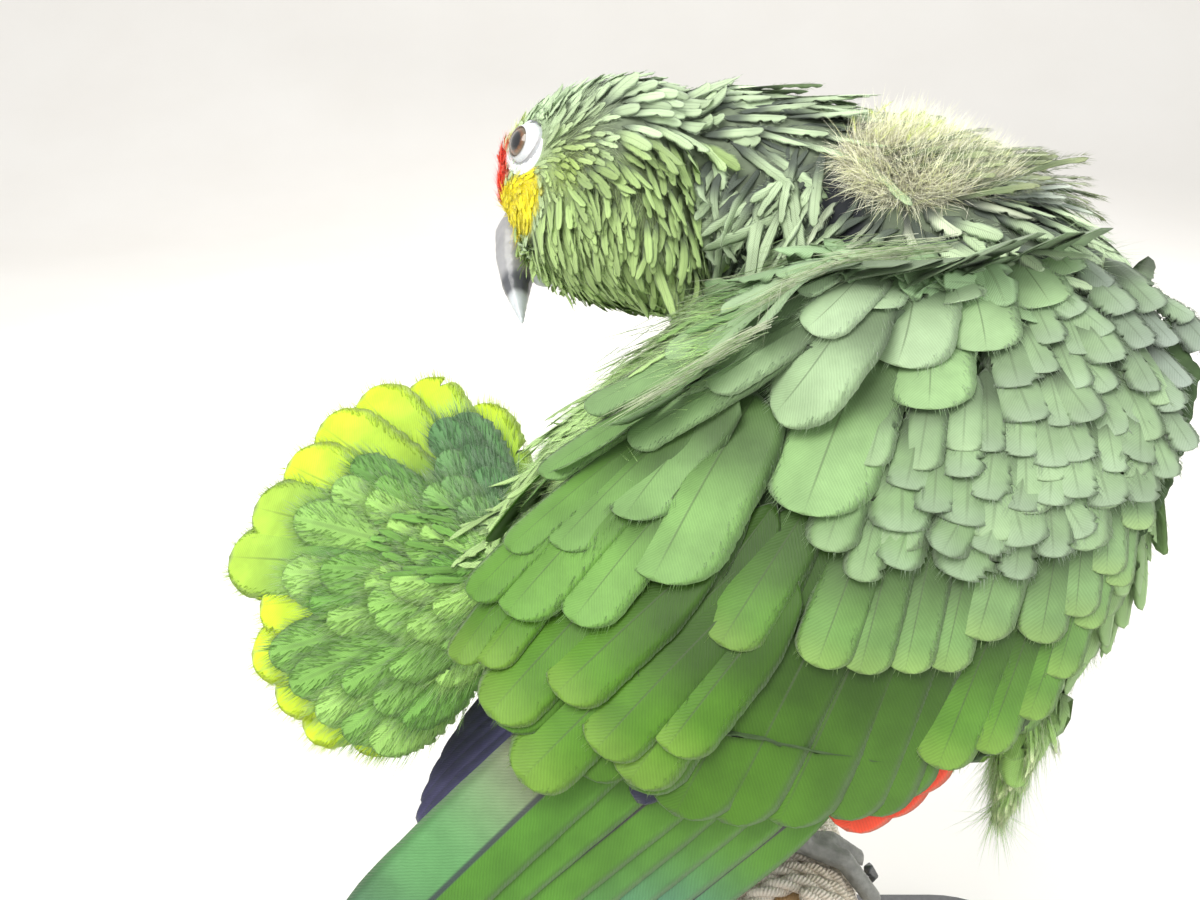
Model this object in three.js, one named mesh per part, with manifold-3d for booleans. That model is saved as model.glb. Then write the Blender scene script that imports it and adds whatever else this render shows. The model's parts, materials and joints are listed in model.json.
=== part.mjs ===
// A red-lored amazon parrot, life-size and still, looking back over its left
// shoulder with its tail fanned. It grips a short length of rope-wrapped perch,
// which a flat base and one rod hold up. Millimetres, +Z up, the breast towards
// +X, the bird's right side towards -Y. The origin is at the middle of the
// underside of the base.
import * as THREE from "three";
import { mergeVertices } from "three/addons/utils/BufferGeometryUtils.js";
import Module from "manifold-3d";

const wasm = await Module();
wasm.setup();

// ---------- driving dimensions ----------
const GAP = 0.35; // clear space left between touching pieces

const BASE_LENGTH = 190;
const BASE_WIDTH = 150;
const BASE_THICK = 10;
const BASE_CORNER = 30;
const ROD_RADIUS = 6;

const PERCH_AXIS_Z = 82;
const PERCH_HALF = 56; // half the cut length of the perch
const BAR_RADIUS = 12.5;
const PERCH_FACETS = 12;
const ROPE_RADIUS = 2.6;
const ROPE_HALF = 36.4; // half the length that the rope covers

const FOOT_Y = { right: -20, left: 22 };
const TOE_RADIUS = 3.2;
const TOE_ROOT = 0.22; // how far past the top of the perch each toe begins, radians
const TOE_REACH = PERCH_AXIS_Z + BAR_RADIUS + 2 * ROPE_RADIUS;

const VANE_THICK = 1.1;
const ARM_START = -32; // along the wing, from ahead of the wrist
const ARM_END = 112; // to the tips of the greater coverts
const ARM_EDGE = 1.6; // thickness of the arm at its rim
const ARM_SWELL = 9; // how much thicker its middle is
const ROOM_OUTSIDE = 34; // the trunk is cut back this far outside the arm
const ROOM_INSIDE = 5; // and this far inside it
const SECONDARY_WIDTH = 19;
const PRIMARY_WIDTH = 18;

const TAIL_LENGTH = 114; // the longest rectrix
const TAIL_LOW = THREE.MathUtils.degToRad(-43);
const TAIL_HIGH = THREE.MathUtils.degToRad(48);
const RECTRIX_SHARES = [0.68, 0.78, 0.8, 0.86, 0.83, 1, 0.98, 0.93, 0.91, 0.89, 0.82, 0.66];
const RECTRICES = RECTRIX_SHARES.length;
const RECTRIX_HALF = 13; // half the width of one vane
const TAIL_LEVEL = 5; // how far the fan lies over the tail's axis

const EYE_RADIUS = 6.2;
const EYE_OUT = 17; // from the middle of the head to the middle of each eye

const colours = {
  green: 0x5f9637,
  leaf: 0x8cb978,
  crown: 0x9cc07a,
  tail: 0x6fae3c,
  flight: 0x3f7a4a,
  horn: 0xafafb4,
  eye: 0x5a3a1c,
  scale: 0x8d8d86,
  claw: 0x4a4c4c,
  rope: 0xe6dccb,
  wood: 0xd9b384,
  stand: 0x2f3133,
};

// ---------- small helpers ----------
const v3 = (x, y, z) => new THREE.Vector3(x, y, z);
const Z = v3(0, 0, 1);
const parrot = new THREE.Group();

function signedVolume(position, triangles) {
  const [a, b, c] = [new THREE.Vector3(), new THREE.Vector3(), new THREE.Vector3()];
  let sum = 0;
  for (let i = 0; i < triangles.length; i += 3) {
    a.fromBufferAttribute(position, triangles[i]);
    b.fromBufferAttribute(position, triangles[i + 1]);
    c.fromBufferAttribute(position, triangles[i + 2]);
    sum += a.dot(b.cross(c));
  }
  return sum / 6;
}

// The closed solid of a geometry, with its faces turned outward and moved out
// by `grow`.
function toSolid(geometry, grow = 0) {
  const bare = geometry.clone();
  bare.deleteAttribute("normal");
  bare.deleteAttribute("uv");
  const merged = mergeVertices(bare, 1e-3);
  const triVerts = new Uint32Array(merged.index.array);
  if (signedVolume(merged.attributes.position, triVerts) < 0) triVerts.reverse();
  if (grow !== 0) {
    merged.setIndex(new THREE.BufferAttribute(triVerts, 1));
    merged.computeVertexNormals();
    const { position, normal } = merged.attributes;
    for (let i = 0; i < position.count * 3; i += 1) position.array[i] += grow * normal.array[i];
  }
  return new wasm.Manifold(new wasm.Mesh({
    numProp: 3,
    vertProperties: new Float32Array(merged.attributes.position.array),
    triVerts,
  }));
}

function toGeometry(solid) {
  const mesh = solid.getMesh();
  const geometry = new THREE.BufferGeometry();
  geometry.setAttribute("position", new THREE.BufferAttribute(mesh.vertProperties, 3));
  geometry.setIndex(new THREE.BufferAttribute(mesh.triVerts, 1));
  geometry.computeVertexNormals();
  return geometry;
}

const join = (solids) => solids.reduce((a, b) => a.add(b));
const cut = (solid, ...tools) => tools.reduce((a, b) => a.subtract(b), solid);

function biggest(solid) {
  const pieces = solid.decompose();
  return pieces.reduce((a, b) => (a.volume() > b.volume() ? a : b));
}

function addPart(name, solid, colour, roughness = 0.8) {
  const material = new THREE.MeshStandardMaterial({ color: colour, roughness, metalness: 0 });
  const mesh = new THREE.Mesh(toGeometry(biggest(solid)), material);
  mesh.name = name;
  parrot.add(mesh);
}

// A value read off a row of evenly spaced numbers, with a smooth curve between.
function along(row, s) {
  const x = s * (row.length - 1);
  const i = Math.min(Math.floor(x), row.length - 2);
  const at = (k) => row[Math.min(Math.max(k, 0), row.length - 1)];
  const f = x - i;
  const [a, b, c, d] = [at(i - 1), at(i), at(i + 1), at(i + 2)];
  return b + 0.5 * f * (c - a + f * (2 * a - 5 * b + 4 * c - d + f * (3 * (b - c) + d - a)));
}

const fuller = (value, power) => Math.sign(value) * Math.abs(value) ** power;

// A rounded body swept along a curve. Each station holds its centre, half its
// width, and its reach up and down. `caps` are the shares of the length that the
// ends take to round off, and `square` fills out the corners of each section.
function loft(form, grow = 0) {
  const { stations, frame, side, around = 20, steps = 14, caps = [0.16, 0.16], square = 1 } = form;
  const toWorld = frame ?? ((p) => p);
  const centres = stations.map((s) => toWorld(v3(...s.at)));
  const spine = new THREE.CatmullRomCurve3(centres, false, "centripetal");
  const rows = ["half", "up", "down"].map((key) => stations.map((s) => s[key]));
  const geometry = new THREE.SphereGeometry(1, around, steps);
  const position = geometry.attributes.position;
  for (let i = 0; i < position.count; i += 1) {
    const ring = v3(position.getX(i), position.getZ(i), 0);
    const reach = ring.length();
    if (reach > 1e-6) ring.divideScalar(reach);
    ring.set(fuller(ring.x, square), fuller(ring.y, square), 0);
    const t = Math.acos(THREE.MathUtils.clamp(position.getY(i), -1, 1)) / Math.PI;
    const s = (1 - Math.cos(Math.PI * t)) / 2;
    const near = Math.min(s / caps[0], 1);
    const far = Math.min((1 - s) / caps[1], 1);
    const round = Math.sqrt(1 - (1 - near) ** 2) * Math.sqrt(1 - (1 - far) ** 2);
    const tangent = spine.getTangent(s);
    const across = side ? side.clone() : tangent.clone().cross(Z).normalize();
    const upward = across.clone().cross(tangent).normalize();
    const [half, up, down] = rows.map((row) => along(row, s));
    const rise = ring.y > 0 ? up : down;
    const point = spine.getPoint(s)
      .addScaledVector(across, ring.x * half * round)
      .addScaledVector(upward, ring.y * rise * round);
    position.setXYZ(i, point.x, point.y, point.z);
  }
  return toSolid(geometry, grow);
}

// ---------- frames of the body ----------
const trunkSide = v3(-0.207, -0.978, 0); // the bird's right

// Head frame: x forward along the bill, y to the bird's left, z to the crown.
const headOrigin = v3(-57.5, 66.7, 255.9);
const headTurn = {
  yaw: THREE.MathUtils.degToRad(170),
  pitch: THREE.MathUtils.degToRad(38),
  roll: THREE.MathUtils.degToRad(48),
};

function headBasis({ yaw, pitch, roll }) {
  const turn = new THREE.Matrix4().makeRotationZ(yaw);
  turn.multiply(new THREE.Matrix4().makeRotationY(pitch));
  turn.multiply(new THREE.Matrix4().makeRotationX(roll));
  return turn;
}

const headMatrix = headBasis(headTurn).setPosition(headOrigin);
const inHead = (p) => p.clone().applyMatrix4(headMatrix);
const headLeft = v3(0, 1, 0).transformDirection(headMatrix);

// ---------- trunk, neck, head ----------
const trunkForm = {
  side: trunkSide.clone().negate(),
  around: 16,
  steps: 12,
  caps: [0.2, 0.14],
  stations: [
    { at: [90, 6, 217], half: 28, up: 22, down: 24 },
    { at: [71, 4, 211], half: 36, up: 36, down: 47 },
    { at: [49, 2, 204], half: 40, up: 49, down: 69 },
    { at: [26, 0, 196], half: 42, up: 57, down: 71 },
    { at: [4, 1, 189], half: 42, up: 58, down: 52 },
    { at: [-22, 6, 180], half: 37, up: 48, down: 38 },
    { at: [-48, 12, 171], half: 29, up: 35, down: 27 },
    { at: [-74, 16, 162], half: 20, up: 22, down: 17 },
  ],
};

// Long feathers of the flank that hang below the edge of the right wing.
const tuftForm = {
  around: 7,
  steps: 3,
  side: v3(0, 1, 0),
  caps: [0.3, 0.5],
  stations: [
    { at: [56, -12, 152], half: 13, up: 11, down: 12 },
    { at: [53, -18, 132], half: 11, up: 8, down: 9 },
    { at: [48, -23, 109], half: 6, up: 4, down: 6 },
  ],
};

const neckForm = {
  around: 12,
  steps: 9,
  stations: [
    { at: [66, 4, 216], half: 30, up: 30, down: 26 },
    { at: [50, 17, 232], half: 31, up: 29, down: 28 },
    { at: [28, 36, 245], half: 29, up: 28, down: 28 },
    { at: [4, 52, 250], half: 28, up: 30, down: 33 },
    { at: [-18, 61, 252], half: 27, up: 31, down: 36 },
    { at: [-38, 65, 252], half: 24, up: 26, down: 32 },
  ],
};

const headForm = {
  frame: inHead,
  side: headLeft,
  around: 13,
  steps: 9,
  caps: [0.3, 0.3],
  square: 0.8,
  stations: [
    { at: [22, 0, -6], half: 14, up: 15, down: 17 },
    { at: [12, 0, -6], half: 19, up: 23, down: 32 },
    { at: [-2, 0, -6], half: 22.5, up: 26.5, down: 44 },
    { at: [-16, 0, -7], half: 24, up: 21.5, down: 52 },
    { at: [-30, 0, -9], half: 23.5, up: 14.5, down: 51 },
    { at: [-40, 0, -11], half: 20, up: 12, down: 40 },
  ],
};

// ---------- bill and eyes ----------
const billUpperForm = {
  frame: inHead,
  side: headLeft.clone().negate(),
  around: 10,
  steps: 8,
  caps: [0.1, 0.5],
  stations: [
    { at: [11, 0, -6], half: 9, up: 8.5, down: 8 },
    { at: [18.5, 0, -7.5], half: 8.5, up: 8.4, down: 5.5 },
    { at: [23, 0, -14], half: 6.6, up: 6.2, down: 4 },
    { at: [26, 0, -24], half: 4.4, up: 4.2, down: 2.6 },
    { at: [28, 0, -34.5], half: 1.9, up: 1.4, down: 1.5 },
  ],
};

const billLowerForm = {
  frame: inHead,
  side: headLeft.clone().negate(),
  around: 10,
  steps: 6,
  caps: [0.2, 0.4],
  stations: [
    { at: [6, 0, -18], half: 8, up: 5, down: 5 },
    { at: [14, 0, -22], half: 7.6, up: 4.5, down: 5 },
    { at: [20.5, 0, -25], half: 5, up: 3, down: 3.5 },
  ],
};

function eyeball(leftward, grow = 0) {
  const geometry = new THREE.SphereGeometry(EYE_RADIUS + grow, 8, 6);
  const seat = inHead(v3(0, leftward * EYE_OUT, 0));
  geometry.translate(seat.x, seat.y, seat.z);
  return toSolid(geometry);
}

// ---------- wings ----------
// Each wing has a frame: x from the wrist to the tip of the primaries, y up
// across the wing, z outward. `bulge` is the height of its outer surface.
function wingFrame(origin, tip, outward) {
  const x = tip.clone().sub(origin).normalize();
  const z = outward.clone().addScaledVector(x, -outward.dot(x)).normalize();
  const y = v3(0, 0, 1).addScaledVector(x, -x.z).addScaledVector(z, -z.z).normalize();
  return (a, b, c) => origin.clone().addScaledVector(x, a).addScaledVector(y, b).addScaledVector(z, c);
}

const wings = {
  right: {
    place: wingFrame(v3(69.9, -43.6, 191.7), v3(-106, -76.7, 102.5), v3(-0.12, -0.98, 0.16)),
  },
  left: {
    place: wingFrame(v3(66, 33, 190), v3(-108, 19, 97), v3(-0.05, 0.98, 0.18)),
  },
};

function bulge(a, b) {
  const across = b > 5 ? 0.0078 : 0.003;
  const front = Math.max(0, 40 - a);
  return 12 - across * (b - 5) ** 2 - 0.1 * Math.max(0, a - 60) - 0.0035 * front ** 2;
}

// A thin piece of the wing: a box whose x and y pick a place on the wing and
// whose z picks the outer or the inner face.
function wingSheet(wing, columns, rows, placeAt) {
  const geometry = new THREE.BoxGeometry(1, 1, 1, columns, rows, 1);
  const position = geometry.attributes.position;
  for (let i = 0; i < position.count; i += 1) {
    const [a, b, c] = placeAt(
      position.getX(i) + 0.5,
      position.getY(i) + 0.5,
      position.getZ(i) > 0,
    );
    const point = wing.place(a, b, c);
    position.setXYZ(i, point.x, point.y, point.z);
  }
  return toSolid(geometry);
}

// The arm with its coverts, from the wrist to the tips of the greater coverts.
const armLow = [27, 12, 3, -8, -20, -11, 4, 20];
const armHigh = [42, 58, 66, 70, 72, 70, 66, 58];

function armSheet(wing, grow = 0, outward = grow, inward = grow) {
  return wingSheet(wing, 11, 5, (s, t, outer) => {
    const a = THREE.MathUtils.lerp(ARM_START - grow, ARM_END + grow, s);
    const low = along(armLow, s) - grow;
    const high = along(armHigh, s) + grow;
    const b = THREE.MathUtils.lerp(low, high, t);
    const body = Math.sin(Math.PI * THREE.MathUtils.clamp(0.06 + 0.88 * s, 0, 1));
    const rim = Math.sin(Math.PI * THREE.MathUtils.clamp(0.08 + 0.84 * t, 0, 1));
    const thick = ARM_EDGE + ARM_SWELL * body * rim;
    return [a, b, outer ? bulge(a, b) + outward : bulge(a, b) - thick - inward];
  });
}

// One flight feather, from root to tip, `under` below the wing's outer surface.
function vane(wing, { root, tip, width, under, steps = 5 }, grow = 0) {
  const [a0, b0] = root;
  const [a1, b1] = tip;
  const length = Math.hypot(a1 - a0, b1 - b0);
  const dir = [(a1 - a0) / length, (b1 - b0) / length];
  const roundEnd = width / length;
  return wingSheet(wing, steps, 1, (s, t, outer) => {
    const reach = 1 - (1 - s) ** 1.4;
    const inTip = Math.max(0, (reach - 1 + roundEnd * 0.6) / (roundEnd * 0.6));
    const halfWidth = (width / 2) * Math.min(1, 0.35 + 2.2 * reach) * Math.sqrt(1 - 0.96 * inTip ** 2);
    const off = (2 * t - 1) * (halfWidth + grow);
    const a = a0 + dir[0] * length * reach - dir[1] * off;
    const b = b0 + dir[1] * length * reach + dir[0] * off;
    const top = bulge(a, b) - under;
    return [a, b, outer ? top + grow : top - VANE_THICK - grow];
  });
}

const spread = (count, make) => Array.from({ length: count }, (_, i) => make(i / (count - 1), i));

function secondaries(grow = 0) {
  return (wing) => join(spread(8, (s, i) => vane(wing, {
    root: [THREE.MathUtils.lerp(34, 84, s), THREE.MathUtils.lerp(22, 56, s)],
    tip: [along([88, 103, 114, 122, 130, 142], s), along([-17, -10, 2, 18, 34, 50], s)],
    width: SECONDARY_WIDTH,
    under: 2.2 + 0.36 * (7 - i),
  }, grow)));
}

function primaries(wing) {
  return join(spread(7, (s, i) => vane(wing, {
    root: [THREE.MathUtils.lerp(50, 74, s), THREE.MathUtils.lerp(0, 26, s)],
    tip: [along([188, 200, 192, 170, 150], s), along([-8, 0, 10, 20, 28], s)],
    width: PRIMARY_WIDTH,
    under: 6.4 + 0.4 * (6 - i),
    steps: 4,
  })));
}

// The trunk with its flank tuft gives way to both wings and leaves room under them.
function trunkBody(grow = 0) {
  const rooms = [wings.right, wings.left].map(
    (wing) => armSheet(wing, GAP - grow, ROOM_OUTSIDE - grow, ROOM_INSIDE - grow),
  );
  return cut(join([loft(trunkForm, grow), loft(tuftForm, grow)]), ...rooms);
}

// ---------- tail ----------
const tailRoot = v3(-64, 8, 161);
const tailAxis = v3(-0.859, 0.495, -0.121);
const tailAcross = v3(0.245, 0.551, 0.797);
const tailOut = tailAcross.clone().cross(tailAxis).normalize();

function rectrix(s, i) {
  const angle = THREE.MathUtils.lerp(TAIL_LOW, TAIL_HIGH, s);
  const outness = Math.abs(2 * s - 1);
  const length = TAIL_LENGTH * RECTRIX_SHARES[i];
  const dir = tailAxis.clone().multiplyScalar(Math.cos(angle))
    .addScaledVector(tailAcross, Math.sin(angle));
  const wide = dir.clone().cross(tailOut).normalize();
  const lift = -0.55 * Math.abs(i - (RECTRICES - 1) / 2);
  const geometry = new THREE.BoxGeometry(1, 1, 1, 6, 1, 1);
  const position = geometry.attributes.position;
  for (let k = 0; k < position.count; k += 1) {
    const reach = 1 - (0.5 - position.getX(k)) ** 1.4;
    const inTip = Math.max(0, (reach - 0.84) / 0.16);
    const halfWidth = RECTRIX_HALF * Math.min(1, 0.22 + 1.25 * reach) * Math.sqrt(1 - 0.96 * inTip ** 2);
    const along3 = length * reach;
    const off = 2 * position.getY(k) * halfWidth;
    const droop = -0.0006 * along3 ** 2 - 6 * outness ** 2 * reach - 0.01 * off ** 2;
    const level = position.getZ(k) > 0 ? 0 : -VANE_THICK;
    const point = tailRoot.clone()
      .addScaledVector(dir, along3)
      .addScaledVector(wide, off)
      .addScaledVector(tailOut, lift + droop + level + TAIL_LEVEL);
    position.setXYZ(k, point.x, point.y, point.z);
  }
  return toSolid(geometry);
}

const tailForm = {
  side: tailAcross,
  around: 14,
  steps: 8,
  caps: [0.2, 0.5],
  stations: [
    { at: [-66, 14, 162], half: 19, up: 17, down: 15 },
    { at: [-82, 22, 159], half: 22, up: 15, down: 14 },
    { at: [-100, 33, 157], half: 24, up: 11, down: 12 },
    { at: [-118, 43, 154], half: 20, up: 6, down: 7 },
  ],
};

// ---------- legs, toes and claws ----------
function thighForm(y) {
  return {
    around: 10,
    steps: 6,
    side: v3(0, 1, 0),
    caps: [0.3, 0.3],
    stations: [
      { at: [22, y, 152], half: 15, up: 20, down: 16 },
      { at: [12, y, 134], half: 13, up: 15, down: 13 },
      { at: [4, y, 116], half: 9, up: 8, down: 8 },
    ],
  };
}

function shankForm(y) {
  return {
    around: 7,
    steps: 4,
    side: v3(0, 1, 0),
    caps: [0.2, 0.3],
    stations: [
      { at: [5, y, 122], half: 4.4, up: 4.4, down: 4.4 },
      { at: [1, y, 111], half: 4.2, up: 4.2, down: 4.2 },
      { at: [0, y, 103], half: 5.6, up: 5.6, down: 5 },
    ],
  };
}

// A toe lies on the rope from the top of the perch down one side. `forward` is
// 1 or -1, `splay` its sideways drift, `sweep` how far round the perch it goes.
function toeForm(y, forward, splay, sweep, claw) {
  const radius = TOE_REACH - PERCH_AXIS_Z + TOE_RADIUS + 0.4;
  const start = claw ? sweep : -TOE_ROOT;
  const end = claw ? sweep + 0.42 : sweep;
  const stations = spread(claw ? 4 : 5, (s) => {
    const angle = THREE.MathUtils.lerp(start, end, s);
    const r = radius + (claw ? 2.6 * Math.sin(Math.PI * s) - 1.2 * s : 0);
    const drift = splay * (angle / sweep);
    const size = claw ? THREE.MathUtils.lerp(2.1, 0.7, s) : TOE_RADIUS * (1 - 0.18 * s);
    return {
      at: [forward * r * Math.sin(angle), y + drift, PERCH_AXIS_Z + r * Math.cos(angle)],
      half: size,
      up: size,
      down: size,
    };
  });
  return { stations, around: claw ? 5 : 6, steps: 4, side: v3(0, 1, 0), caps: [0.15, 0.2] };
}

const TOES = [
  { name: "inner_front", forward: 1, splay: 6, sweep: 1.15 },
  { name: "outer_front", forward: 1, splay: -6, sweep: 1.45 },
  { name: "inner_back", forward: -1, splay: 6, sweep: 1.0 },
  { name: "outer_back", forward: -1, splay: -6, sweep: 1.35 },
];

// ---------- perch and stand ----------
function alongY(geometry) {
  geometry.translate(0, 0, PERCH_AXIS_Z);
  return toSolid(geometry);
}

function perchBar(grow = 0) {
  const r = BAR_RADIUS + grow;
  const profile = [[0, -PERCH_HALF], [r - 1.5, -PERCH_HALF], [r, -PERCH_HALF + 1.5],
    [r, PERCH_HALF - 1.5], [r - 1.5, PERCH_HALF], [0, PERCH_HALF]];
  return alongY(new THREE.LatheGeometry(profile.map((p) => new THREE.Vector2(...p)), PERCH_FACETS));
}

// The rope lies in close turns round the bar; its solid is a ribbed sleeve.
function ropeSleeve() {
  const turns = Math.round((2 * ROPE_HALF) / (2 * ROPE_RADIUS));
  const pitch = (2 * ROPE_HALF) / turns;
  const inner = BAR_RADIUS + GAP;
  const outline = [new THREE.Vector2(inner, ROPE_HALF), new THREE.Vector2(inner, -ROPE_HALF)];
  for (let i = 0; i < turns; i += 1) {
    const y = -ROPE_HALF + i * pitch;
    outline.push(new THREE.Vector2(BAR_RADIUS + ROPE_RADIUS * 1.5, y + pitch * 0.02));
    outline.push(new THREE.Vector2(BAR_RADIUS + 2 * ROPE_RADIUS, y + pitch * 0.5));
  }
  outline.push(new THREE.Vector2(BAR_RADIUS + ROPE_RADIUS * 1.5, ROPE_HALF));
  outline.push(outline[0].clone());
  return alongY(new THREE.LatheGeometry(outline, PERCH_FACETS));
}

function standBase() {
  const [l, w, r] = [BASE_LENGTH / 2, BASE_WIDTH / 2, BASE_CORNER];
  const outline = new THREE.Shape();
  outline.moveTo(-l + r, -w);
  outline.lineTo(l - r, -w);
  outline.absarc(l - r, -w + r, r, -Math.PI / 2, 0);
  outline.lineTo(l, w - r);
  outline.absarc(l - r, w - r, r, 0, Math.PI / 2);
  outline.lineTo(-l + r, w);
  outline.absarc(-l + r, w - r, r, Math.PI / 2, Math.PI);
  outline.lineTo(-l, -w + r);
  outline.absarc(-l + r, -w + r, r, Math.PI, 1.5 * Math.PI);
  return toSolid(new THREE.ExtrudeGeometry(outline, {
    depth: BASE_THICK, bevelEnabled: false, curveSegments: 5,
  }));
}

function standRod(grow = 0) {
  const top = PERCH_AXIS_Z - BAR_RADIUS - 2 * ROPE_RADIUS + 3;
  const bottom = BASE_THICK + GAP;
  const geometry = new THREE.CylinderGeometry(ROD_RADIUS + grow, ROD_RADIUS + grow, top - bottom, 14);
  geometry.rotateX(Math.PI / 2);
  geometry.translate(0, 0, (top + bottom) / 2);
  return toSolid(geometry);
}

// ---------- assembly ----------
function addHeadAndBody() {
  const head = loft(headForm);
  const eyes = [eyeball(1, GAP), eyeball(-1, GAP)];
  const upperBill = loft(billUpperForm);
  const upperGrown = loft(billUpperForm, GAP);
  addPart("bill_upper", upperBill, colours.horn, 0.4);
  addPart("bill_lower", cut(loft(billLowerForm), upperGrown), colours.horn, 0.5);
  addPart("head", cut(head, ...eyes, upperGrown, loft(billLowerForm, GAP)), colours.crown);
  addPart("eye_left", eyeball(1), colours.eye, 0.1);
  addPart("eye_right", eyeball(-1), colours.eye, 0.1);
  const arms = [armSheet(wings.right, GAP), armSheet(wings.left, GAP)];
  const neck = cut(loft(neckForm), loft(headForm, GAP), trunkBody(2 * GAP), ...arms);
  addPart("neck", neck, colours.leaf);
  addPart("trunk", trunkBody(), colours.green);
}

function addWing(sideName) {
  const wing = wings[sideName];
  const arm = armSheet(wing);
  addPart(`wing_${sideName}`, arm, colours.green);
  const armGrown = armSheet(wing, GAP);
  const body = trunkBody(GAP);
  addPart(`secondaries_${sideName}`, cut(secondaries()(wing), armGrown, body), colours.green);
  const over = secondaries(GAP)(wing);
  const below = [loft(tailForm, GAP), loft(thighForm(FOOT_Y[sideName]), GAP)];
  addPart(`primaries_${sideName}`, cut(primaries(wing), armGrown, over, body, ...below), colours.flight);
}

function addTail() {
  const body = trunkBody(GAP);
  addPart("tail", cut(loft(tailForm), body), colours.tail);
  const fan = join(spread(RECTRICES, rectrix));
  addPart("rectrices", cut(fan, body, loft(tailForm, GAP)), colours.tail);
}

function addLeg(sideName) {
  const y = FOOT_Y[sideName];
  const body = trunkBody(GAP);
  const others = ["right", "left"].map((name) => armSheet(wings[name], GAP));
  addPart(`thigh_${sideName}`, cut(loft(thighForm(y)), body, ...others), colours.leaf);
  const thighGrown = loft(thighForm(y), GAP);
  const hand = sideName === "right" ? 1 : -1;
  const toes = TOES.map((toe) => loft(toeForm(y, toe.forward, toe.splay * hand, toe.sweep, false)));
  addPart(`foot_${sideName}`, cut(join([loft(shankForm(y)), ...toes]), thighGrown), colours.scale);
  for (const toe of TOES) {
    const claw = loft(toeForm(y, toe.forward, toe.splay * hand, toe.sweep, true));
    const toeGrown = loft(toeForm(y, toe.forward, toe.splay * hand, toe.sweep, false), GAP);
    addPart(`claw_${sideName}_${toe.name}`, cut(claw, toeGrown), colours.claw, 0.4);
  }
}

function addStand() {
  addPart("perch_bar", cut(perchBar(), standRod(GAP)), colours.wood);
  addPart("perch_rope", cut(ropeSleeve(), standRod(GAP)), colours.rope, 0.95);
  addPart("stand_rod", standRod(), colours.stand, 0.5);
  addPart("stand_base", standBase(), colours.stand, 0.5);
}

addHeadAndBody();
addWing("right");
addWing("left");
addTail();
addLeg("right");
addLeg("left");
addStand();

export default parrot;
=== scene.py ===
# A red-lored amazon parrot as a still, life-size museum model. It looks back over
# its left shoulder with its tail fanned, and grips a rope-wrapped perch on a plain
# stand. Lengths below are in millimetres in the shared frame, and every mesh is
# made in metres.
import json
import math

import bmesh
import bpy
import numpy as np
from mathutils import Matrix, Vector
from mathutils.bvhtree import BVHTree
from mathutils.kdtree import KDTree

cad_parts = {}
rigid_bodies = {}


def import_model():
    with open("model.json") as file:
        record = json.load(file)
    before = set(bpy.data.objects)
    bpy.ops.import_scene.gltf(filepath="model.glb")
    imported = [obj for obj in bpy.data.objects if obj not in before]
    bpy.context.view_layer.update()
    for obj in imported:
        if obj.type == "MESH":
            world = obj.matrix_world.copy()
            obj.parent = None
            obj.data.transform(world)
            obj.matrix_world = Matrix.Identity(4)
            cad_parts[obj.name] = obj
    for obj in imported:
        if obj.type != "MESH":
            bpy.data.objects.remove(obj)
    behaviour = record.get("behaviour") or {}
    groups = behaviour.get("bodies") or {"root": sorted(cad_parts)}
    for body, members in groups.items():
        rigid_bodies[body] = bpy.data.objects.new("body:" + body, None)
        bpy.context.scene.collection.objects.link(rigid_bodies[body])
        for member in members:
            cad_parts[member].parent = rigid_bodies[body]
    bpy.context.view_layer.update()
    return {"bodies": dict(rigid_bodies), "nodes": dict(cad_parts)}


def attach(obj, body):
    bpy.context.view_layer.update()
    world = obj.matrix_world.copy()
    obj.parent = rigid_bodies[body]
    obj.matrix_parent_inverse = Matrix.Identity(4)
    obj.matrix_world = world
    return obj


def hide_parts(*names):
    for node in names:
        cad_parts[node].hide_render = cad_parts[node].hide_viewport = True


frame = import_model()
BODY = sorted(frame["bodies"])[0]
MM = 0.001
MOST_TRIANGLES = 180000  # in one piece of the coat
PATCH = 0.0015  # half the side of a tuft's patch on the unwrap
BARB_WIDTH = 0.06
PLUMAGE, HEAD_PLUMAGE, TAIL_FEATHERS = "plumage", "head_plumage", "tail_feathers"
SIDES = ("right", "left")
rng = np.random.default_rng(11)


# ---------- colours ----------
def srgb(*values):
    c = np.asarray(values, float) / 255
    return np.where(c <= 0.04045, c / 12.92, ((c + 0.055) / 1.055) ** 2.4)


LEAF = srgb(92, 134, 58)
LEAF_DARK = srgb(58, 98, 40)
NECK_LIGHT = srgb(196, 216, 176)
NECK_DARK = srgb(46, 50, 58)
CROWN = srgb(204, 228, 184)
EAR = srgb(166, 190, 104)
THROAT = srgb(164, 190, 120)
YELLOW = srgb(255, 240, 40)
RED = srgb(232, 62, 40)
RUMP = srgb(172, 204, 132)
TAIL_GREEN = srgb(120, 174, 78)
TAIL_LIME = srgb(208, 236, 44)
DOWN = srgb(250, 248, 226)
DOWN_GREY = srgb(232, 228, 204)
BREAST = srgb(214, 220, 150)
BELLY = srgb(150, 194, 98)
SKIN_GREY = srgb(64, 66, 64)
DUSK = srgb(52, 52, 74)
VIOLET = srgb(92, 90, 130)


def mix(a, b, t):
    t = np.asarray(t, float)[..., None]
    return a * (1 - t) + b * t


def ramp(x, low, high):
    t = np.clip((x - low) / (np.asarray(high) - low), 0, 1)
    return t * t * (3 - 2 * t)


def unit(v):
    return v / (np.linalg.norm(v, axis=-1, keepdims=True) + 1e-12)


def near(points, place, radius):
    return np.exp(-np.sum((points - np.array(place, float)) ** 2, 1) / radius ** 2)


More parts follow.
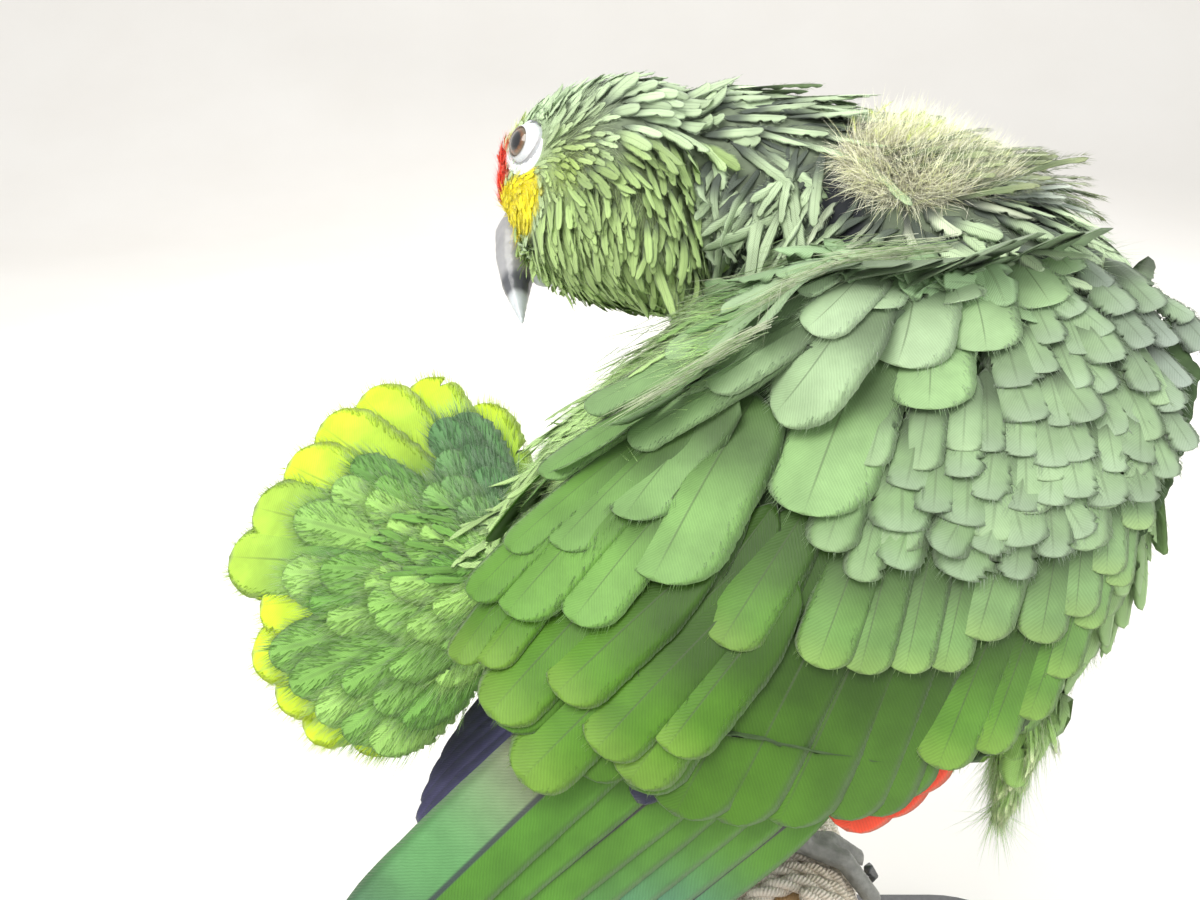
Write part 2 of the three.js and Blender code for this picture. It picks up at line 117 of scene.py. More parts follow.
# ---------- frames of the head, the wings and the tail ----------
class Axes:
    def __init__(self, origin, x, y, z):
        self.origin = np.array(origin, float)
        self.rows = np.array([x, y, z], float)

    def place(self, p):
        return self.origin + np.asarray(p, float) @ self.rows

    def turn(self, v):
        return np.asarray(v, float) @ self.rows

    def local(self, p):
        return (np.asarray(p, float) - self.origin) @ self.rows.T


def head_axes():
    turn = (Matrix.Rotation(math.radians(170), 3, "Z") @ Matrix.Rotation(math.radians(38), 3, "Y")
            @ Matrix.Rotation(math.radians(48), 3, "X"))
    columns = [np.array(turn.col[i]) for i in range(3)]
    return Axes((-57.5, 66.7, 255.9), *columns)


def wing_axes(origin, tip, outward):
    x = unit(np.array(tip, float) - np.array(origin, float))
    z = np.array(outward, float)
    z = unit(z - z.dot(x) * x)
    y = np.array([0, 0, 1.0]) - x[2] * x
    y = unit(y - y.dot(z) * z)
    return Axes(origin, x, y, z)


HEAD = head_axes()
WINGS = {
    "right": wing_axes((69.9, -43.6, 191.7), (-106, -76.7, 102.5), (-0.12, -0.98, 0.16)),
    "left": wing_axes((66, 33, 190), (-108, 19, 97), (-0.05, 0.98, 0.18)),
}
TAIL_AXIS = np.array([-0.859, 0.495, -0.121])
TAIL_ACROSS = np.array([0.245, 0.551, 0.797])
TAIL = Axes((-64, 8, 161), TAIL_AXIS, TAIL_ACROSS, unit(np.cross(TAIL_ACROSS, TAIL_AXIS)))
FACE_FROM = -9  # the face is ahead of this in the head's own frame
EYE_OUT = 17.0  # from the middle of the head to the middle of an eyeball
EYE_BALL = 5.6
EYE_FORWARD = 0.38  # how much the eyes look ahead, against straight out
PERCH_Z = 82
PERCH_HALF = 56
BAR_RADIUS = 12.5
ROPE_RADIUS = 2.6
ROPE_TURNS = 14
STRAND_OUT, STRAND_RADIUS = 1.25, 1.32  # of the rope's three strands
ROPE_HALF = 36.4  # half the length of bar that the rope covers


def bulge(a, b):
    """How far the wing's surface stands out over the plane of its own axes."""
    across = np.where(b > 5, 0.0078, 0.003)
    front = np.maximum(0, 40 - a)
    return 12 - across * (b - 5) ** 2 - 0.1 * np.maximum(0, a - 60) - 0.0035 * front ** 2


# ---------- camera and lights ----------
CAMERA_PLACE = (-49, -294.6, 308)
CAMERA_TILT = 70  # degrees up from straight down
LENS, SENSOR_WIDTH = 39, 36
# name, place, target, size, power, colour; places here are in metres
LIGHTS = [
    ("key", (-0.5, -0.7, 1.25), (-0.02, 0, 0.18), 0.9, 17, (1, 0.985, 0.95)),
    ("fill", (1.0, -0.7, 0.5), (0, 0, 0.18), 1.0, 6, (0.95, 0.98, 1)),
    ("rim", (0.3, 1.0, 0.9), (0, 0, 0.2), 0.8, 9, (1, 1, 1)),
]
SKY, SKY_STRENGTH = (0.93, 0.94, 0.96, 1), 0.85


def make_camera():
    camera = bpy.data.objects.new("camera", bpy.data.cameras.new("camera"))
    bpy.context.scene.collection.objects.link(camera)
    camera.location = Vector(CAMERA_PLACE) * MM
    camera.rotation_euler = (math.radians(CAMERA_TILT), 0, 0)
    camera.data.lens = LENS
    camera.data.sensor_width = SENSOR_WIDTH
    camera.data.clip_start = 0.01
    camera.data.dof.use_dof = False
    bpy.context.scene.camera = camera


def area_light(name, place, target, size, power, colour):
    light = bpy.data.lights.new(name, "AREA")
    light.size = size
    light.energy = power
    light.color = colour
    lamp = bpy.data.objects.new(name, light)
    bpy.context.scene.collection.objects.link(lamp)
    lamp.location = place
    lamp.rotation_euler = (Vector(target) - Vector(place)).to_track_quat("-Z", "Y").to_euler()


def make_lights():
    for row in LIGHTS:
        area_light(*row)
    world = bpy.data.worlds.new("studio")
    bpy.context.scene.world = world
    world.use_nodes = True
    back = world.node_tree.nodes["Background"]
    back.inputs["Color"].default_value = SKY
    back.inputs["Strength"].default_value = SKY_STRENGTH


# ---------- node materials ----------
class Nodes:
    """A material's nodes, made and joined in one call each."""

    def __init__(self, name):
        self.material = bpy.data.materials.new(name)
        self.material.use_nodes = True
        self.tree = self.material.node_tree
        self.shader = self.tree.nodes["Principled BSDF"]

    def add(self, kind, settings=None, **inputs):
        node = self.tree.nodes.new(kind)
        for key, value in (settings or {}).items():
            setattr(node, key, value)
        for key, value in inputs.items():
            self.put(node, key, value)
        return node

    def put(self, node, key, value):
        socket = node.inputs[int(key[1:])] if key[0] == "i" and key[1:].isdigit() else node.inputs[key]
        if isinstance(value, bpy.types.NodeSocket):
            self.tree.links.new(value, socket)
        elif isinstance(value, (tuple, list, np.ndarray)) and len(value) == 3 and socket.type == "RGBA":
            socket.default_value = (*[float(v) for v in value], 1)
        else:
            socket.default_value = value

    def math(self, operation, a, b=0.0):
        return self.add("ShaderNodeMath", {"operation": operation}, i0=a, i1=b).outputs[0]

    def plus(self, a, b):
        return self.math("ADD", a, b)

    def times(self, a, b):
        return self.math("MULTIPLY", a, b)

    def shaded(self, colour, shade):
        """A colour made lighter or darker by one number."""
        grey = self.add("ShaderNodeCombineColor", i0=shade, i1=shade, i2=shade)
        return self.blend(1.0, colour, grey.outputs[0], "MULTIPLY")

    def blend(self, factor, a, b, mode="MIX"):
        node = self.add("ShaderNodeMix", {"data_type": "RGBA", "blend_type": mode})
        self.put(node, "i0", factor)
        self.put(node, "i6", a)
        self.put(node, "i7", b)
        return node.outputs[2]

    def noise(self, scale, detail, vector=None, rough=0.55):
        """Noise over the object's own coordinates, unless others are given."""
        return self.add("ShaderNodeTexNoise", Scale=scale, Detail=detail, Roughness=rough,
                        Vector=vector or self.place()).outputs["Fac"]

    def smooth(self, value, low, high, out_low=0.0, out_high=1.0):
        node = self.add("ShaderNodeMapRange", {"interpolation_type": "SMOOTHSTEP"}, Value=value)
        for key, number in (("From Min", low), ("From Max", high), ("To Min", out_low), ("To Max", out_high)):
            node.inputs[key].default_value = number
        return node.outputs["Result"]

    def place(self):
        return self.add("ShaderNodeTexCoord").outputs["Object"]

    def stretched(self, scale):
        node = self.add("ShaderNodeMapping", Vector=self.place())
        node.inputs["Scale"].default_value = scale
        return node.outputs[0]

    def attribute(self, name):
        return self.add("ShaderNodeAttribute", {"attribute_name": name}).outputs["Color"]

    def uv(self, name):
        map_node = self.add("ShaderNodeUVMap", {"uv_map": name})
        parts = self.add("ShaderNodeSeparateXYZ", Vector=map_node.outputs[0])
        return parts.outputs[0], parts.outputs[1]

    def finish(self, colour, roughness, height=None, strength=0.3, distance=0.0003, **constants):
        self.put(self.shader, "Base Color", colour)
        self.put(self.shader, "Roughness", roughness)
        if height is not None:
            bump = self.add("ShaderNodeBump", Height=height, Strength=strength, Distance=distance)
            self.put(self.shader, "Normal", bump.outputs[0])
        for key, value in constants.items():
            self.shader.inputs[key.replace("_", " ")].default_value = value
        return self.material


def vane_material(name, pitch=0.9, shaft=(0.06, 0.08, 0.04), shaft_width=0.03, shaft_strength=0.5,
                  stripe=0.2, gloss=0.5, rim_from=0.84, rim=0.12, rim_tone=(0.55, 0.62, 0.5)):
    """Barbs slant from the shaft to the edge, with a darker shaft and a soft rim."""
    n = Nodes(name)
    tint = n.attribute("tint")
    x, y = n.uv("vane")
    s, t = n.uv("rel")
    across = n.math("ABSOLUTE", y)
    side = n.math("ABSOLUTE", t)
    cloud = n.noise(420, 3)
    run = n.math("SUBTRACT", x, n.times(across, 1.15))
    run = n.plus(run, n.times(cloud, 0.9))
    wave = n.math("SINE", n.times(run, 2 * math.pi / pitch))
    fine = n.math("SINE", n.times(run, 2 * math.pi / (pitch * 0.41)))
    barbs = n.plus(n.times(wave, 0.35), n.times(fine, 0.2))
    shade = n.plus(n.times(barbs, stripe), 1.0)
    patchy = n.smooth(n.noise(95, 4), 0.25, 0.75, 0.84, 1.14)
    shade = n.times(shade, patchy)
    colour = n.shaded(tint, shade)
    edge = n.smooth(side, rim_from, 1.0, 0.0, rim)
    colour = n.blend(edge, colour, n.blend(1.0, colour, rim_tone, "MULTIPLY"))
    line = n.smooth(side, shaft_width * 0.5, shaft_width * 1.6, shaft_strength, 0.0)
    line = n.times(line, n.smooth(s, 0.75, 1.0, 1.0, 0.2))
    colour = n.blend(line, colour, shaft)
    height = n.plus(n.times(barbs, 0.5), n.times(line, 1.2))
    rough = n.plus(n.times(barbs, 0.08), gloss)
    material = n.finish(colour, rough, height, 0.35, 0.00025, Sheen_Weight=0.22, Sheen_Roughness=0.45,
                        Specular_IOR_Level=0.3)
    n.shader.inputs["Sheen Tint"].default_value = (0.85, 1.0, 0.75, 1)
    return material


def strand_material(name):
    n = Nodes(name)
    tint = n.attribute("tint")
    s = n.uv("rel")[0]
    grain = n.noise(900, 2)
    shade = n.plus(n.times(grain, 0.5), n.plus(n.times(s, 0.5), 0.48))
    colour = n.shaded(tint, shade)
    return n.finish(colour, 0.8, grain, 0.2, 0.0002, Sheen_Weight=0.3, Sheen_Roughness=0.5,
                    Specular_IOR_Level=0.2)


def tinted_material(name, scale, depth, roughness, speckle=0.25, **constants):
    """A surface coloured by its tint, broken up by fine noise and pits."""
    n = Nodes(name)
    tint = n.attribute("tint")
    coarse = n.noise(scale, 4)
    fine = n.noise(scale * 6, 3)
    shade = n.smooth(coarse, 0.25, 0.75, 1 - speckle, 1 + speckle * 0.6)
    colour = n.shaded(tint, shade)
    height = n.plus(n.times(coarse, 0.6), n.times(fine, 0.4))
    rough = n.plus(n.times(fine, 0.2), roughness - 0.1)
    return n.finish(colour, rough, height, 0.5, depth, **constants)


def floor_material():
    n = Nodes("floor_pale")
    grain = n.noise(6, 4)
    colour = n.blend(grain, (0.82, 0.79, 0.74), (0.88, 0.86, 0.82))
    return n.finish(colour, 0.7, n.noise(300, 2), 0.1, 0.0003)


def wood_material():
    n = Nodes("perch_wood")
    grain = n.noise(9, 6, n.stretched((28, 2.2, 28)), 0.6)
    fine = n.noise(30, 4, n.stretched((60, 3, 60)), 0.6)
    streak = n.math("FRACT", n.times(grain, 7.0))
    streak = n.smooth(streak, 0.0, 0.7)
    colour = n.blend(streak, (0.60, 0.36, 0.16), (0.80, 0.57, 0.31))
    colour = n.blend(n.smooth(fine, 0.45, 0.7, 0, 0.5), colour, (0.45, 0.25, 0.11))
    height = n.plus(n.times(streak, 0.5), fine)
    return n.finish(colour, 0.5, height, 0.35, 0.0004)


def rope_material():
    n = Nodes("rope_cotton")
    u, v = n.uv("rel")
    yarn = n.math("SINE", n.times(n.plus(u, v), 2 * math.pi * 5))
    fuzz = n.noise(1500, 3)
    dirt = n.noise(70, 4)
    colour = n.blend(n.smooth(dirt, 0.35, 0.75), (0.83, 0.77, 0.66), (0.70, 0.61, 0.47))
    # darker in the grooves of the yarn, where the bump is lowest: painted shade
    colour = n.blend(n.smooth(yarn, -1, 0.2, 0.35, 0), colour, (0.42, 0.35, 0.26))
    height = n.plus(yarn, n.times(fuzz, 0.8))
    return n.finish(colour, 0.9, height, 0.5, 0.0004, Sheen_Weight=0.3)


def stand_material():
    n = Nodes("stand_paint")
    grain = n.noise(900, 2)
    worn = n.noise(30, 4)
    colour = n.blend(n.smooth(worn, 0.4, 0.8, 0, 1), (0.030, 0.031, 0.033), (0.050, 0.051, 0.053))
    return n.finish(colour, n.plus(n.times(grain, 0.25), 0.35), grain, 0.25, 0.0002)


MATERIALS = {
    "flight": vane_material("flight_vane", pitch=1.0, shaft_width=0.022),
    "primary": vane_material("primary_vane", 1.0, (0.03, 0.03, 0.045), 0.05, 0.85),
    "scapular": vane_material("scapular_vane", shaft_width=0.018),
    "covert": vane_material("covert_vane", pitch=0.8, shaft_width=0.04, shaft_strength=0.3),
    "soft": vane_material("soft_vane", pitch=0.7, shaft_width=0.06, shaft_strength=0.25, stripe=0.4,
                          gloss=0.65, rim_from=0.6, rim=0.3),
    "combed": vane_material("combed_vane", pitch=0.6, shaft_width=0.06, shaft_strength=0.25, stripe=0.5,
                            gloss=0.65, rim_from=0.5, rim=0.7, rim_tone=(0.30, 0.33, 0.36)),
    "strand": strand_material("loose_barb"),
}


# ---------- making mesh pieces ----------
def link(name, mesh):
    piece = bpy.data.objects.new(name, mesh)
    bpy.context.scene.collection.objects.link(piece)
    return piece


def build_mesh(name, verts, faces, colours=None, uvs=None):
    """A mesh from points in millimetres. `faces` is a list of index arrays, one
    per number of corners; `uvs` gives one pair per point for each map."""
    mesh = bpy.data.meshes.new(name)
    mesh.vertices.add(len(verts))
    mesh.vertices.foreach_set("co", (np.asarray(verts, np.float32) * MM).ravel())
    corners = np.concatenate([f.ravel() for f in faces]).astype(np.int32)
    totals = np.concatenate([np.full(len(f), f.shape[1]) for f in faces]).astype(np.int32)
    mesh.loops.add(len(corners))
    mesh.loops.foreach_set("vertex_index", corners)
    mesh.polygons.add(len(totals))
    starts = np.concatenate([[0], np.cumsum(totals)[:-1]]).astype(np.int32)
    mesh.polygons.foreach_set("loop_start", starts)
    mesh.polygons.foreach_set("loop_total", totals)
    mesh.polygons.foreach_set("use_smooth", np.full(len(totals), True))
    for map_name, pairs in (uvs or {}).items():
        layer = mesh.uv_layers.new(name=map_name)
        layer.data.foreach_set("uv", np.asarray(pairs, np.float32)[corners].ravel())
    if colours is not None:
        set_tint(mesh, colours)
    mesh.update()
    mesh.validate()
    return mesh


def set_tint(mesh, colours):
    layer = mesh.color_attributes.new("tint", "FLOAT_COLOR", "POINT")
    rgba = np.concatenate([colours, np.ones((len(colours), 1))], 1)
    layer.data.foreach_set("color", rgba.astype(np.float32).ravel())


def band(rows, around, closed=False):
    """Faces between rows of points that run round in rings."""
    i = np.arange(rows if closed else rows - 1)[:, None] * around
    j = np.arange(around)[None]
    k = (j + 1) % around
    n = (i + around) % (rows * around)
    return np.stack([i + j, i + k, n + k, n + j], -1).reshape(-1, 4)


def face_outward(mesh, merge=None):
    """Turns the faces outward, after points closer than `merge` are joined."""
    fix = bmesh.new()
    fix.from_mesh(mesh)
    if merge:
        bmesh.ops.remove_doubles(fix, verts=fix.verts, dist=merge)
    bmesh.ops.recalc_face_normals(fix, faces=fix.faces)
    fix.to_mesh(mesh)
    fix.free()


def settle(piece, material=None, nodes=()):
    if material is not None:
        piece.data.materials.clear()
        piece.data.materials.append(material)
    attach(piece, BODY)
    if nodes:
        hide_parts(*nodes)
    return piece


def joined_nodes(names, grow):
    """One bmesh of copies of CAD nodes, each moved out by `grow` mm."""
    whole = bmesh.new()
    for name in names:
        part = bmesh.new()
        part.from_mesh(frame["nodes"][name].data)
        bmesh.ops.remove_doubles(part, verts=part.verts, dist=1e-5)
        bmesh.ops.recalc_face_normals(part, faces=part.faces)
        part.normal_update()
        moves = [(v, v.normal.copy()) for v in part.verts]
        for v, normal in moves:
            v.co += normal * grow * MM
        mesh = bpy.data.meshes.new("part")
        part.to_mesh(mesh)
        whole.from_mesh(mesh)
        part.free()
        bpy.data.meshes.remove(mesh)
    return whole


def remeshed(name, nodes, voxel, smoothing, grow=0.0):
    """One smooth skin over CAD nodes."""
    source = joined_nodes(nodes, grow)
    mesh = bpy.data.meshes.new(name)
    source.to_mesh(mesh)
    source.free()
    rough = link(name + "_rough", mesh)
    remesh = rough.modifiers.new("remesh", "REMESH")
    remesh.mode = "VOXEL"
    remesh.voxel_size = voxel * MM
    soften = rough.modifiers.new("soften", "SMOOTH")
    soften.factor = 0.5
    soften.iterations = smoothing
    result = bpy.data.meshes.new_from_object(rough.evaluated_get(bpy.context.evaluated_depsgraph_get()))
    result.name = name
    bpy.data.objects.remove(rough)
    for attribute in [a.name for a in result.attributes if not a.is_required and a.name != "sharp_face"]:
        result.attributes.remove(result.attributes[attribute])
    result.polygons.foreach_set("use_smooth", np.full(len(result.polygons), True))
    return result


def mesh_arrays(mesh):
    """The points of a mesh in millimetres, and its normals there."""
    arrays = []
    for key in ("co", "normal"):
        values = np.empty(len(mesh.vertices) * 3, np.float32)
        mesh.vertices.foreach_get(key, values)
        arrays.append(values.reshape(-1, 3).astype(float))
    return arrays[0] / MM, arrays[1]


def set_points(mesh, points):
    mesh.vertices.foreach_set("co", (points * MM).astype(np.float32).ravel())
    mesh.update()


# ---------- the skin ----------
SKIN_VOXEL = 1.7
SKIN_SMOOTHING = 10
SKIN_GROWTH = 0.7  # closes the gaps between nodes, and is taken off again
COAT_DEPTH = 2.6
FACE_RISE = 2.4  # how much less deep the skin lies on the face and the nape
ARM_SHIFT = 1.4  # how much deeper it lies on a wing's arm, and less deep under it
UNWRAP_ANGLE = 1.15
FLESH = ("trunk", "neck", "head", "tail", "thigh_left", "thigh_right", "wing_left", "wing_right")


def nearest_label(points):
    """Which node of flesh each point is nearest to."""
    gaps = []
    for name in FLESH:
        mesh = frame["nodes"][name].data
        tree = BVHTree.FromPolygons([v.co / MM for v in mesh.vertices],
                                    [tuple(p.vertices) for p in mesh.polygons])
        gaps.append([tree.find_nearest(Vector(p))[3] for p in points])
    return np.array(FLESH)[np.argmin(np.array(gaps), 0)]


def coat_depth(points):
    """How deep the skin lies under the surface of the CAD model."""
    at = HEAD.local(points)
    face = np.exp(-np.sum(((at - np.array([12, 0, 2])) / np.array([22, 28, 26])) ** 2, 1))
    nape = near(points, (-28, 58, 280), 13)
    depth = COAT_DEPTH - FACE_RISE * np.clip(face + nape, 0, 1)
    for wing in WINGS.values():
        a, b, c = wing.local(points).T
        arm = ramp(a, 20, 34) * (1 - ramp(b, 36, 46))
        under = bulge(a, b) - c
        depth += arm * (ARM_SHIFT * (under < 4) - ARM_SHIFT * ((under >= 4) & (under < 16)))
    return depth


def make_skin():
    mesh = remeshed("skin", FLESH, SKIN_VOXEL, SKIN_SMOOTHING, SKIN_GROWTH)
    points, normals = mesh_arrays(mesh)
    set_points(mesh, points - normals * (SKIN_GROWTH + coat_depth(points))[:, None])
    piece = link("skin", mesh)
    bpy.context.view_layer.objects.active = piece
    piece.select_set(True)
    bpy.ops.object.mode_set(mode="EDIT")
    bpy.ops.mesh.select_all(action="SELECT")
    bpy.ops.uv.smart_project(angle_limit=UNWRAP_ANGLE, island_margin=0.002)
    bpy.ops.object.mode_set(mode="OBJECT")
    piece.select_set(False)
    mesh.uv_layers[0].name = "OFBake"
    return piece


def point_tree(points):
    tree = KDTree(len(points))
    for i, p in enumerate(points):
        tree.insert(p, i)
    tree.balance()
    return tree


class Skin:
    """The skin as points, normals, search trees, the node of flesh that each
    point is nearest to, and its unwrap."""

    def __init__(self, piece):
        mesh = piece.data
        self.piece = piece
        self.points, self.normals = mesh_arrays(mesh)
        self.polygons = [tuple(p.vertices) for p in mesh.polygons]
        self.tree = BVHTree.FromPolygons([Vector(p) for p in self.points], self.polygons)
        self.corners = point_tree(self.points)
        self.labels = nearest_label(self.points)
        uv = np.empty(len(mesh.loops) * 2, np.float32)
        mesh.uv_layers["OFBake"].data.foreach_get("uv", uv)
        uv = uv.reshape(-1, 2)
        starts = np.array([p.loop_start for p in mesh.polygons])
        totals = np.array([p.loop_total for p in mesh.polygons])
        self.centre_uv = np.add.reduceat(uv, starts, axis=0) / totals[:, None]

    def nearest(self, points):
        """The nearest places on the skin and their faces."""
        found = [self.tree.find_nearest(Vector(p)) for p in points]
        return np.array([f[0] for f in found]), np.array([f[2] for f in found])

    def smooth_normals(self, faces):
        """Normals at faces, averaged from their corners."""
        return unit(np.array([self.normals[list(self.polygons[i])].mean(0) for i in faces]))

    def label_at(self, points):
        return self.labels[[self.corners.find(Vector(p))[1] for p in points]]

    def uv_at(self, points):
        return self.centre_uv[self.nearest(points)[1]]

    def sample(self, count, weight=None):
        """Random places, their normals and nearest corners, as dense as `weight`."""
        corners = np.array([p[:3] for p in self.polygons])
        extra = np.array([(p[0], p[2], p[3]) for p in self.polygons if len(p) == 4])
        triangles = np.concatenate([corners, extra])
        a, b, c = (self.points[triangles[:, i]] for i in range(3))
        share = np.linalg.norm(np.cross(b - a, c - a), axis=1)
        if weight is not None:
            share = share * weight((a + b + c) / 3, self.labels[triangles[:, 0]])
        pick = rng.choice(len(triangles), count, p=share / share.sum())
        r1 = np.sqrt(rng.random(count))[:, None]
        r2 = rng.random(count)[:, None]
        points = a[pick] * (1 - r1) + b[pick] * r1 * (1 - r2) + c[pick] * r1 * r2
        normals = unit(self.normals[triangles[pick]].mean(1))
        return points, normals, triangles[pick, 0]

    def scatter(self, spacing, count=120000):
        """Places on the skin about `spacing(p)` apart, kept from `count` random ones."""
        points = self.sample(count)[0]
        gap = spacing(points)
        points, gap = points[gap > 0], gap[gap > 0]
        tree = point_tree(points)
        free = np.ones(len(points), bool)
        kept = []
        for i in range(len(points)):
            if not free[i]:
                continue
            kept.append(i)
            for _, j, _ in tree.find_range(points[i], gap[i]):
                free[j] = False
        return points[kept]


skin = Skin(make_skin())


# ---------- feathers ----------
def quadratic(p0, pm, p1):
    """Coefficients of the curve through three points at 0, 1/2 and 1."""
    return p0, -3 * p0 + 4 * pm - p1, 2 * (p0 - 2 * pm + p1)


def shares(count, triangles):
    """Slices of `count` shapes for pieces under the limit, with an ending for each name."""
    most = MOST_TRIANGLES // triangles
    return [("" if count <= most else f"_{k + 1}", slice(start, start + most))
            for k, start in enumerate(range(0, count, most))]


class Plumes:
    """Feathers gathered as arrays, then made into closed, thin meshes."""

    def __init__(self):
        self.rows = []

    def add(self, curve, n0, n1, half, colours, webs=None, **shape):
        """curve: three arrays of coefficients; colours: root, middle, tip; webs:
        the same for the feather's other half where it differs."""
        count = len(curve[0])
        settings = dict(widest=0.45, stem=0.25, tip=1.0, camber=0.12, fray=0.05, slant=0.9,
                        thick=0.3, split=0.0, notch=0.28, skew=0.0, shade=0.5)
        settings.update(shape)
        row = {key: np.broadcast_to(np.asarray(value, float), (count,)).copy()
               for key, value in settings.items()}
        row["curve"] = np.stack(curve, 1)
        row["n0"] = n0
        row["n1"] = n1
        row["half"] = np.broadcast_to(np.asarray(half, float), (count,)).copy()
        row["length"] = np.linalg.norm(curve[1] + curve[2], axis=1)
        both = list(colours) + list(webs or colours)
        row["colours"] = np.stack([np.broadcast_to(c, (count, 3)) for c in both], 1)
        self.rows.append(row)

    def gather(self):
        return {key: np.concatenate([row[key] for row in self.rows]) for key in self.rows[0]}

    def build(self, name, rows, columns, material, nodes=()):
        """One or more pieces, each under the limit of triangles."""
        data = self.gather()
        spots, faces = feather_faces(rows, len(columns))
        triangles = sum(len(f) * (f.shape[1] - 2) for f in faces)
        pieces = []
        for number, part in shares(len(data["half"]), triangles):
            some = {key: value[part] for key, value in data.items()}
            pieces.append(self.piece(name + number, some, rows, np.array(columns), spots, faces))
        for piece in pieces:
            settle(piece, MATERIALS[material])
        if nodes:
            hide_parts(*nodes)

    def fringe(self, name, per, reach, slot, begin=0.35, angle=30, core=0.7, width=BARB_WIDTH):
        """Loose barbs that stand out from both edges of every feather, or from
        further in on it with a smaller `core`."""
        d = self.gather()
        shape = (len(d["half"]), per)
        x = begin + (1 - begin) * rng.random(shape) ** 0.8
        side = np.where(rng.random(shape) < 0.5, -1.0, 1.0)
        half = d["half"][:, None]
        into = into_tip(d, x)
        y = side * half * np.sqrt(1 - into ** 2) * rng.uniform(core, 0.95, shape)
        sag = d["camber"][:, None] * y ** 2 / half - 0.1
        roots, ahead, across, up = on_feathers(d, x, y, -sag)
        lean = np.radians(angle + rng.normal(0, 8, shape)) * (1 - 0.6 * into)
        ways = (ahead * np.cos(lean)[..., None] + across * (side * np.sin(lean))[..., None]
                + up * rng.normal(-0.04, 0.07, shape)[..., None])
        _, middle, tip = web_colours(d, y)
        colour = middle + (tip - middle) * ramp(x[..., None], 0.6, 1.0)
        colour = colour * rng.uniform(0.8, 1.15, (*shape, 1))
        size = rng.uniform(0.6, 1.2, shape) * reach * np.clip(half / 5, 0.5, 1.6)
        roots, ways, ups, colour = (q.reshape(-1, 3) for q in (roots, unit(ways), up, colour))
        strands(name, roots, ways, ups, size.ravel(), width, colour, slot)

    def piece(self, name, d, rows, columns, spots, faces):
        count = len(d["half"])
        middle = len(columns) // 2
        per_row = {key: value[:, None] for key, value in d.items() if value.ndim == 1}
        per_spot = {key: value[..., None] for key, value in per_row.items()}
        v = np.linspace(0, 1, rows)
        u = 1 - (1 - v) ** 1.3
        length, half = per_row["length"], per_row["half"]
        lead = per_row["slant"] * half / length
        edge = np.clip(u + lead * (1 - u) * np.sin(np.pi * np.clip(u, 0, 1) ** 0.8), 0, 1)
        spine = np.broadcast_to(u * 0.985, edge.shape)
        t = np.abs(columns)
        x = spine[:, :, None] + (edge - spine)[:, :, None] * t ** 1.3
        x[:, -1, :] = 1.0
        stem = per_spot["stem"]
        rise = stem + (1 - stem) * (1 - (1 - np.clip(x / per_spot["widest"], 0, 1)) ** 2)
        outline = rise * np.sqrt(np.clip(1 - into_tip(d, x) ** 2, 0, 1))
        sided = 1 + per_spot["skew"] * np.sign(columns)
        jags = []
        for _ in range(2):
            jag = 1 - per_row["fray"] * rng.random((count, rows))
            torn = rng.random((count, rows)) < per_row["split"]
            jags.append(np.where(torn, jag * (1 - per_row["notch"]), jag)[:, :, None])
        ragged = np.where(columns < 0, jags[0], jags[1])
        ragged = 1 - (1 - ragged) * np.clip((t - 0.5) / 0.5, 0, 1)
        half = per_spot["half"]
        y = columns * outline * half * ragged * sided
        camber = -per_spot["camber"] * half * (y / half) ** 2
        ridge = 0.18 * (t < 0.01) * (1 - x) * np.minimum(1, half / 6)
        top = on_feathers(d, x, y, camber + ridge)[0]
        keel = on_feathers(d, spine, 0 * spine, -per_row["thick"] * (1 - 0.7 * spine))[0]

        def gather(grid, line):
            """Values of the root, the top, the keel and the tip in the order of the faces."""
            rest = grid.shape[3:]
            return np.concatenate([grid[:, 0, middle][:, None], grid[:, 1:-1].reshape(count, -1, *rest),
                                   line[:, 1:-1], grid[:, -1, middle][:, None]], 1)

        verts = gather(top, keel)
        along = gather(x, spine)
        across = gather(y, 0 * spine)
        rel = gather(np.broadcast_to(columns, x.shape), 0 * spine)
        w = along[..., None]
        a, b, c = web_colours(d, across)
        full = per_spot["shade"]
        colour = a + (b - a) * ramp(w, full - 0.38, full)
        colour = colour + (c - b) * ramp(w, np.maximum(full, 0.6), 1.0)
        bake = skin.uv_at(d["curve"][:, 0])[:, None] + PATCH * np.stack([along * 2 - 1, rel], -1)
        offset = (np.arange(count) * spots)[:, None, None]
        index = [(f[None] + offset).reshape(-1, f.shape[1]) for f in faces]
        uvs = {
            "OFBake": bake.reshape(-1, 2),
            "vane": np.stack([along * length, across], -1).reshape(-1, 2),
            "rel": np.stack([along, rel], -1).reshape(-1, 2),
        }
        return link(name, build_mesh(name, verts.reshape(-1, 3), index, colour.reshape(-1, 3), uvs))


def lead_axes(values, x):
    """One value for each feather, shaped to go with the places x on it."""
    return values[(slice(None),) + (None,) * (x.ndim - 1)]


def into_tip(d, x):
    """How far into the feather's rounded tip the places x are, from 0 to 1."""
    share = lead_axes(np.clip(d["tip"] * d["half"] / d["length"], 0.05, 0.9), x)
    return np.clip((x - 1 + share) / share, 0, 1)


def on_feathers(d, x, y, height):
    """Points at x from 0 to 1 along feathers, y across and `height` over them,
    with the feathers' directions ahead, across and up there."""
    c0, c1, c2 = (lead_axes(d["curve"][:, i], x) for i in range(3))
    w = x[..., None]
    ahead = unit(c1 + 2 * w * c2)
    up = lead_axes(d["n0"], x) + w * lead_axes(d["n1"], x)
    up = unit(up - np.sum(up * ahead, -1, keepdims=True) * ahead)
    across = np.cross(up, ahead)
    return c0 + w * c1 + w ** 2 * c2 + across * y[..., None] + up * height[..., None], ahead, across, up


